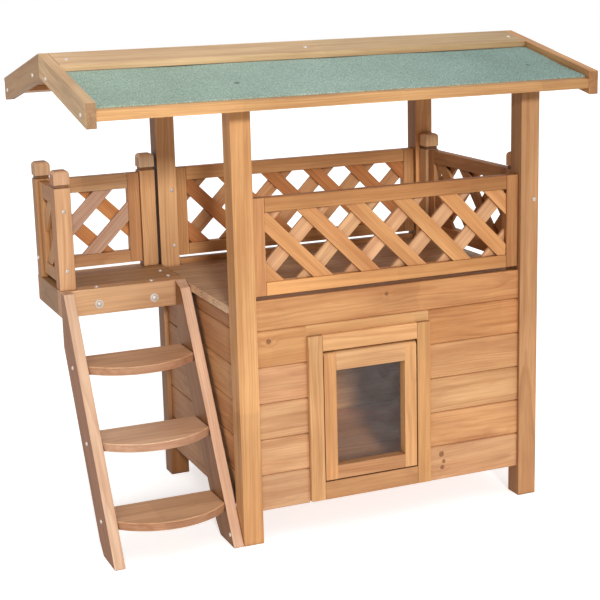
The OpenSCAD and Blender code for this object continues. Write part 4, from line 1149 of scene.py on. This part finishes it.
def make_roof_timbers():
    """Barge boards, ridge boards and eave rails."""
    ease = round_mm()
    for name, seed, tint in (("barge_left_front", 101, (0.97, 1.12, 1.30)),
                             ("barge_left_back", 102, (0.62, 0.64, 0.63)),
                             ("barge_right_front", 103, (0.90, 0.88, 0.84)),
                             ("barge_right_back", 104, PLAIN)):
        low, high = reach(name)
        height = high[2] - low[2] - (ROOF_HIGH[1] - RIDGE_Y) * math.tan(SLOPE)
        start, end = ROOF_LOW[1], RIDGE_Y - JOINT / 4
        outline = slope_points((start, height), (end, height), (end, 0), (start, 0))
        solid = bar(softened(outline, ease * 1.1), low[0], high[0], "x", ease)
        rise = math.sin(SLOPE)
        if "back" in name:
            solid, rise = mirrored(solid), -rise
        single(name, seed, solid, (0, math.cos(SLOPE), rise), tint).finish(
            timber("golden_jointed"), [name], "golden_wood")

    start, end = RIDGE_Y - RIDGE_BOARD_WIDE / PLUMB, RIDGE_Y - JOINT / 2
    outline = slope_points((start, RIDGE_DROP), (end, RIDGE_DROP), (end, 0), (start, 0))
    solid = bar(softened(outline, ease), FELT_LOW[0], FELT_HIGH[0])
    piece = Piece("ridge_boards_timber", 105)
    piece.add(solid, "x", (1.02, 1.22, 1.50), (10, 42), (0.006, 0.003), (0.64, 0.76, 0.84))
    piece.add(mirrored(solid), "x", PLAIN, (10, 42), (0.004, -0.003))
    piece.finish(timber("golden_jointed"), ["ridge_boards"], "golden_wood")

    low, high = reach("eave_rails")
    front, seat, inner = low[1], low[1] + BATTEN_DEEP / 2, low[1] + BATTEN_DEEP
    bottom = slope_top(front) - low[2]
    outline = slope_points((front, bottom), (inner, bottom), (inner, REBATE_DROP),
                           (seat, REBATE_DROP), (seat, SHEET_DROP), (front, SHEET_DROP))
    solid = bar(softened(outline, [1.0, 0.5, 0.5, 0.3, 0.3, 1.2]), low[0], high[0])
    piece = Piece("eave_rails_timber", 106)
    piece.add(solid, "x", (1.05, 1.06, 1.0), (4, 44), (0.008, 0.002), (0.72, 0.70, 0.64))
    piece.add(mirrored(solid))
    piece.finish(timber("golden_jointed"), ["eave_rails"], "honey_wood")


def felt_surface(seed):
    """Sheet of felt over the front slope: a grid of x and y at the height of the slope.
    The sum of eight slow sine waves lowers the top where it is under the crest, and four
    more bend the lower edge."""
    draw = np.random.default_rng(seed)
    columns, rows = 160, 60
    to_ridge, crest = 62, 0.35
    x = np.linspace(FELT_LOW[0], FELT_HIGH[0], columns)
    t = np.linspace(0, 1, rows)
    edge = FELT_LOW[1] + sum(draw.normal(0, 0.22) * np.sin(x * f + draw.uniform(0, 6))
                             for f in (0.011, 0.027, 0.06, 0.11))
    y = edge + (RIDGE_Y - to_ridge - edge) * t[:, None]
    waves = sum(draw.normal(0, 0.16) * np.sin(x * draw.uniform(0.01, 0.05)
                                               + y * draw.uniform(0.01, 0.05) + draw.uniform(0, 6))
                for _ in range(8))
    top = slope_top(y) - FELT_DROP + np.minimum(waves - crest, 0)
    base = slope_top(y) - SHEET_DROP + LAYER_GAP
    x = np.broadcast_to(x, y.shape)
    places = np.stack([np.stack([x, y, top], -1), np.stack([x, y, base], -1)])
    upper, lower = np.arange(2 * y.size).reshape(2, rows, columns)
    sheets = [(upper[:-1, :-1], upper[:-1, 1:], upper[1:, 1:], upper[1:, :-1]),
              (lower[:-1, :-1], lower[1:, :-1], lower[1:, 1:], lower[:-1, 1:])]
    for over, under in ((upper[0], lower[0]), (upper[-1, ::-1], lower[-1, ::-1]),
                        (upper[::-1, 0], lower[::-1, 0]), (upper[:, -1], lower[:, -1])):
        sheets.append((under[:-1], under[1:], over[1:], over[:-1]))
    faces = np.vstack([np.stack(sheet, -1).reshape(-1, 4) for sheet in sheets])
    return places.reshape(-1, 3), faces.tolist()


def make_felt():
    """Roofing felt on both slopes."""
    for name, seed in (("roof_felt_front", 111), ("roof_felt_back", 112)):
        solid = felt_surface(seed)
        piece = Piece(name + "_sheet", seed)
        piece.add(mirrored(solid) if name.endswith("back") else solid)
        piece.finish(MATERIALS["felt"], [name], "roofing_felt", smooth=50, weighted=False)


def screw_spots():
    """Places and outward directions of the screw heads, worked out as the source does."""
    left, right, front, up = (-1, 0, 0), (1, 0, 0), (0, -1, 0), (0, 0, 1)
    rise, run = math.sin(SLOPE), math.cos(SLOPE)
    eave = ROOF_LOW[1] + EAVE_SETBACK + 0.75 * BATTEN_DEEP
    ridge = RIDGE_Y - PURLIN_DISTANCE
    spots = []
    for y, drop in ((eave, (REBATE_DROP + SHEET_DROP + EAVE_RAIL_HIGH) / 2),
                    (ridge, REBATE_DROP + BATTEN_THICK / 2 * PLUMB)):
        z = slope_top(y) - drop
        for side_y in (y, 2 * RIDGE_Y - y):
            spots += [((ROOF_LOW[0], side_y, z), left), ((ROOF_HIGH[0], side_y, z), right)]
    for x in (ROOF_LOW[0] + RIDGE_SCREW_INSET, RIDGE_SCREW_MIDDLE,
              ROOF_HIGH[0] - RIDGE_SCREW_INSET):
        spots += [((x, ridge, slope_top(ridge)), (0, -rise, run)),
                  ((x, 2 * RIDGE_Y - ridge, slope_top(ridge)), (0, rise, run))]
    low, high = reach("ladder_stringer_left")
    for count in (1, 2, 3):
        tread_low, tread_high = reach(f"ladder_tread_{count}")
        z = (tread_low[2] + tread_high[2]) / 2
        y = low[1] + z * stringer_lean(low, high) + TREAD_SCREW_INSET
        spots += [((low[0], y, z), left), ((0, y, z), right)]
    low, high = reach("front_railing_frame")
    upper, lower = high[2] - TOP_RAIL - POST_SCREW_DROP, low[2] + BOTTOM_RAIL
    spots += [((-STRINGER_THICK, POST / 2, LADDER_SCREW_HEIGHT), left),
              ((WIDTH - POST_SCREW_INSET, 0, upper - FRONT_SCREW_LOWER), front)]
    low, high = reach("newel_landing_front")
    for z in (lower, upper):
        spots += [((POST - POST_SCREW_INSET, DEPTH - POST, z), front),
                  (((low[0] + high[0]) / 2, low[1], z), front)]
    low, high = reach("newel_landing_back")
    spots.append(((low[0], (low[1] + high[1]) / 2, lower), left))
    joist = reach("landing_joists")[0][0] + JOIST_SIDE / 2
    for x in (joist, joist + JOIST_SPACING):
        spots.append(((x, LANDING_LOW[1] + FASCIA_THICK / 2, LANDING_HIGH[2]), up))
    for y in (LANDING_LOW[1] + FASCIA_THICK + LANDING_FIRST / 2, (LANDING_LOW[1] + DEPTH) / 2):
        spots.append(((-LEDGER_SCREW_INSET, y, LANDING_HIGH[2]), up))
    return spots


def make_screws():
    """Heads of the wood screws, at the places of the CAD screws, and of the bolts."""
    low, high = reach("landing_bolts")
    bolt_spots = [((x, LANDING_LOW[1], (low[2] + high[2]) / 2), (0, -1, 0))
                  for x in (low[0] + BOLT_RADIUS, high[0] - BOLT_RADIUS)]
    for name, seed, head, spots, node, smooth in (
            ("screw_heads", 121, screw_head(SCREW_RADIUS, SCREW_HEIGHT), screw_spots(),
             "wood_screws", 50),
            ("bolt_heads", 122, lathe(BOLT_PROFILE, 32), bolt_spots, "landing_bolts", 40)):
        piece = Piece(name, seed)
        for at, direction in spots:
            piece.add(turned(head, direction, at))
        piece.finish(MATERIALS["zinc"], [node], "zinc_steel", smooth=smooth, weighted=False)


def dress_hidden_timbers():
    """Materials on the CAD nodes that stay: floor, joists, purlins, rafters, roof sheets
    and the door's pins."""
    for name, kind in (("floor_panel", "rosy_x"), ("landing_joists", "brown_y"),
                       ("ridge_purlins", "honey_x"), ("roof_rafters", "honey_y"),
                       ("roof_sheets", "honey_x"), ("door_pivot_pins", "zinc")):
        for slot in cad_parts[name].material_slots:
            slot.material = MATERIALS["zinc"] if kind == "zinc" else timber(kind)


# stage


def make_floor():
    """Flat pale floor, shown near white to the camera, that keeps the shadow."""
    size, glow = 9.0, 0.62
    mesh = bpy.data.meshes.new("floor")
    corners = [(-size, -size, 0), (size, -size, 0), (size, size, 0), (-size, size, 0)]
    mesh.from_pydata(corners, [], [(0, 1, 2, 3)])
    g = Graph(bpy.data.materials.new("Floor"))
    path = g.node("ShaderNodeLightPath", {}).outputs
    seen = g.math("ADD", path["Is Camera Ray"],
                  g.add(path["Is Glossy Ray"], path["Is Transmission Ray"]), clamp=True)
    mesh.materials.append(g.shade({
        "Base Color": bpy.context.scene.cat_house_stage.floor, "Roughness": 0.9,
        "Specular IOR Level": 0.1, "Emission Color": PLAIN,
        "Emission Strength": g.times(seen, glow)}))
    linked("floor", mesh)


def make_world():
    """Even light from all sides, shown white to the camera."""
    world = bpy.data.worlds.new("Studio")
    bpy.context.scene.world = world
    g = Graph(world, "Background")
    path = g.node("ShaderNodeLightPath", {}).outputs
    through = g.math("MAXIMUM", path["Is Glossy Ray"], path["Is Transmission Ray"])
    seen = g.math("MAXIMUM", path["Is Camera Ray"], through)
    fill = bpy.context.scene.cat_house_stage.fill
    strength = g.node("ShaderNodeMix", {0: seen, 2: fill, 3: 1.0}, data_type="FLOAT")
    g.shade({"Color": PLAIN, "Strength": strength.outputs[0]})


def pose(right, up, back):
    """Turn of a light or camera from the directions of its three axes."""
    return Matrix(np.column_stack([right, up, back]).tolist()).to_4x4()


def make_lights():
    """Soft key light from beside the camera, and a wide weak light from above."""
    stage = bpy.context.scene.cat_house_stage
    for name, power, spread, height, turn in (
            ("Key light", stage.key_power, stage.key_spread, stage.key_height, stage.key_turn),
            ("Top light", stage.top_power, math.radians(70), math.radians(80), 0.0)):
        light = bpy.data.lights.new(name, "SUN")
        light.energy = power
        light.angle = spread
        toward = np.array([math.sin(turn) * math.cos(height), -math.cos(turn) * math.cos(height),
                           math.sin(height)])
        side = np.cross([0, 0, 1], toward)
        side /= np.linalg.norm(side)
        linked(name, light).matrix_world = pose(side, np.cross(toward, side), toward)


def make_camera():
    """Camera at the viewpoint of the photograph."""
    turn, down, roll = (math.radians(a) for a in (CAMERA_TURN, CAMERA_DOWN, CAMERA_ROLL))
    look = np.array([math.sin(turn) * math.cos(down), math.cos(turn) * math.cos(down),
                     -math.sin(down)])
    right = np.cross(look, [0, 0, 1])
    right /= np.linalg.norm(right)
    up = np.cross(right, look)
    c, s = math.cos(roll), math.sin(roll)
    data = bpy.data.cameras.new("Camera")
    data.sensor_width = 36
    data.lens = bpy.context.scene.cat_house_stage.lens
    data.clip_end = 50
    camera = linked("Camera", data)
    place = pose(c * right + s * up, -s * right + c * up, -look)
    place.translation = (ORIGIN + np.array(CAMERA_PLACE) * MM).tolist()
    camera.matrix_world = place
    bpy.context.scene.camera = camera


# operators


class CATHOUSE_OT_materials(bpy.types.Operator):
    """Makes the felt, the metal and the clear sheet; timbers are made when first used"""

    bl_idname = "cat_house.materials"
    bl_label = "Materials"

    def execute(self, context):
        make_materials()
        return {"FINISHED"}


class CATHOUSE_OT_posts(bpy.types.Operator):
    """Makes the four corner posts"""

    bl_idname = "cat_house.posts"
    bl_label = "Posts"

    def execute(self, context):
        make_posts()
        return {"FINISHED"}


class CATHOUSE_OT_walls(bpy.types.Operator):
    """Makes the boards of the four walls"""

    bl_idname = "cat_house.walls"
    bl_label = "Walls"

    def execute(self, context):
        make_front_wall()
        make_other_walls()
        return {"FINISHED"}


class CATHOUSE_OT_door(bpy.types.Operator):
    """Makes the door frame and the swing door with its pane"""

    bl_idname = "cat_house.door"
    bl_label = "Door"

    def execute(self, context):
        make_door_frame()
        make_door()
        return {"FINISHED"}


class CATHOUSE_OT_decks(bpy.types.Operator):
    """Makes the decks of the balcony and the landing, and the landing's fascia boards"""

    bl_idname = "cat_house.decks"
    bl_label = "Decks"

    def execute(self, context):
        make_decks()
        make_landing()
        return {"FINISHED"}


class CATHOUSE_OT_railings(bpy.types.Operator):
    """Makes the five railing panels and the five newel posts"""

    bl_idname = "cat_house.railings"
    bl_label = "Railings"

    def execute(self, context):
        make_railings()
        make_newels()
        return {"FINISHED"}


class CATHOUSE_OT_ladder(bpy.types.Operator):
    """Makes the ladder's stringers and treads"""

    bl_idname = "cat_house.ladder"
    bl_label = "Ladder"

    def execute(self, context):
        make_ladder()
        return {"FINISHED"}


class CATHOUSE_OT_roof(bpy.types.Operator):
    """Makes the roof's barge boards, ridge boards, eave rails and felt"""

    bl_idname = "cat_house.roof"
    bl_label = "Roof"

    def execute(self, context):
        make_roof_timbers()
        make_felt()
        return {"FINISHED"}


class CATHOUSE_OT_screws(bpy.types.Operator):
    """Makes the heads of the screws and the bolts"""

    bl_idname = "cat_house.screws"
    bl_label = "Screws"

    def execute(self, context):
        make_screws()
        return {"FINISHED"}


class CATHOUSE_OT_hidden_timbers(bpy.types.Operator):
    """Gives the CAD nodes that stay their materials"""

    bl_idname = "cat_house.hidden_timbers"
    bl_label = "Hidden timbers"

    def execute(self, context):
        dress_hidden_timbers()
        return {"FINISHED"}


class CATHOUSE_OT_stage(bpy.types.Operator):
    """Makes the floor, the world, the lights and the camera"""

    bl_idname = "cat_house.stage"
    bl_label = "Stage"

    def execute(self, context):
        make_floor()
        make_world()
        make_lights()
        make_camera()
        return {"FINISHED"}


OPERATORS = (CATHOUSE_OT_materials, CATHOUSE_OT_posts, CATHOUSE_OT_walls, CATHOUSE_OT_door,
             CATHOUSE_OT_decks, CATHOUSE_OT_railings, CATHOUSE_OT_ladder, CATHOUSE_OT_roof,
             CATHOUSE_OT_screws, CATHOUSE_OT_hidden_timbers, CATHOUSE_OT_stage)
SETTINGS = {"cat_house_timber": TimberSettings, "cat_house_roof": RoofSettings,
            "cat_house_stage": StageSettings}


class CATHOUSE_PT_panel(bpy.types.Panel):
    """Lists the settings and the pieces of the cat house"""

    bl_idname = "CATHOUSE_PT_panel"
    bl_label = "Cat House"
    bl_space_type = "VIEW_3D"
    bl_region_type = "UI"
    bl_category = "Cat House"

    def draw(self, context):
        for key, group in SETTINGS.items():
            box = self.layout.box()
            for name in group.__annotations__:
                box.prop(getattr(context.scene, key), name)
        for operator in OPERATORS:
            self.layout.operator(operator.bl_idname)


CLASSES = (*SETTINGS.values(), *OPERATORS, CATHOUSE_PT_panel)


def register():
    """Registers the classes and hangs the settings on the scene."""
    for made in CLASSES:
        bpy.utils.register_class(made)
    for key, group in SETTINGS.items():
        setattr(bpy.types.Scene, key, bpy.props.PointerProperty(type=group))


def unregister():
    """Takes the settings off the scene and the classes out."""
    for key in SETTINGS:
        delattr(bpy.types.Scene, key)
    for made in reversed(CLASSES):
        bpy.utils.unregister_class(made)


def main():
    """Registers the classes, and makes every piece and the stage."""
    register()
    for operator in OPERATORS:
        getattr(bpy.ops.cat_house, operator.bl_idname.split(".")[1])()
    bpy.context.scene.view_settings.view_transform = "Standard"


if __name__ == "__main__":
    main()
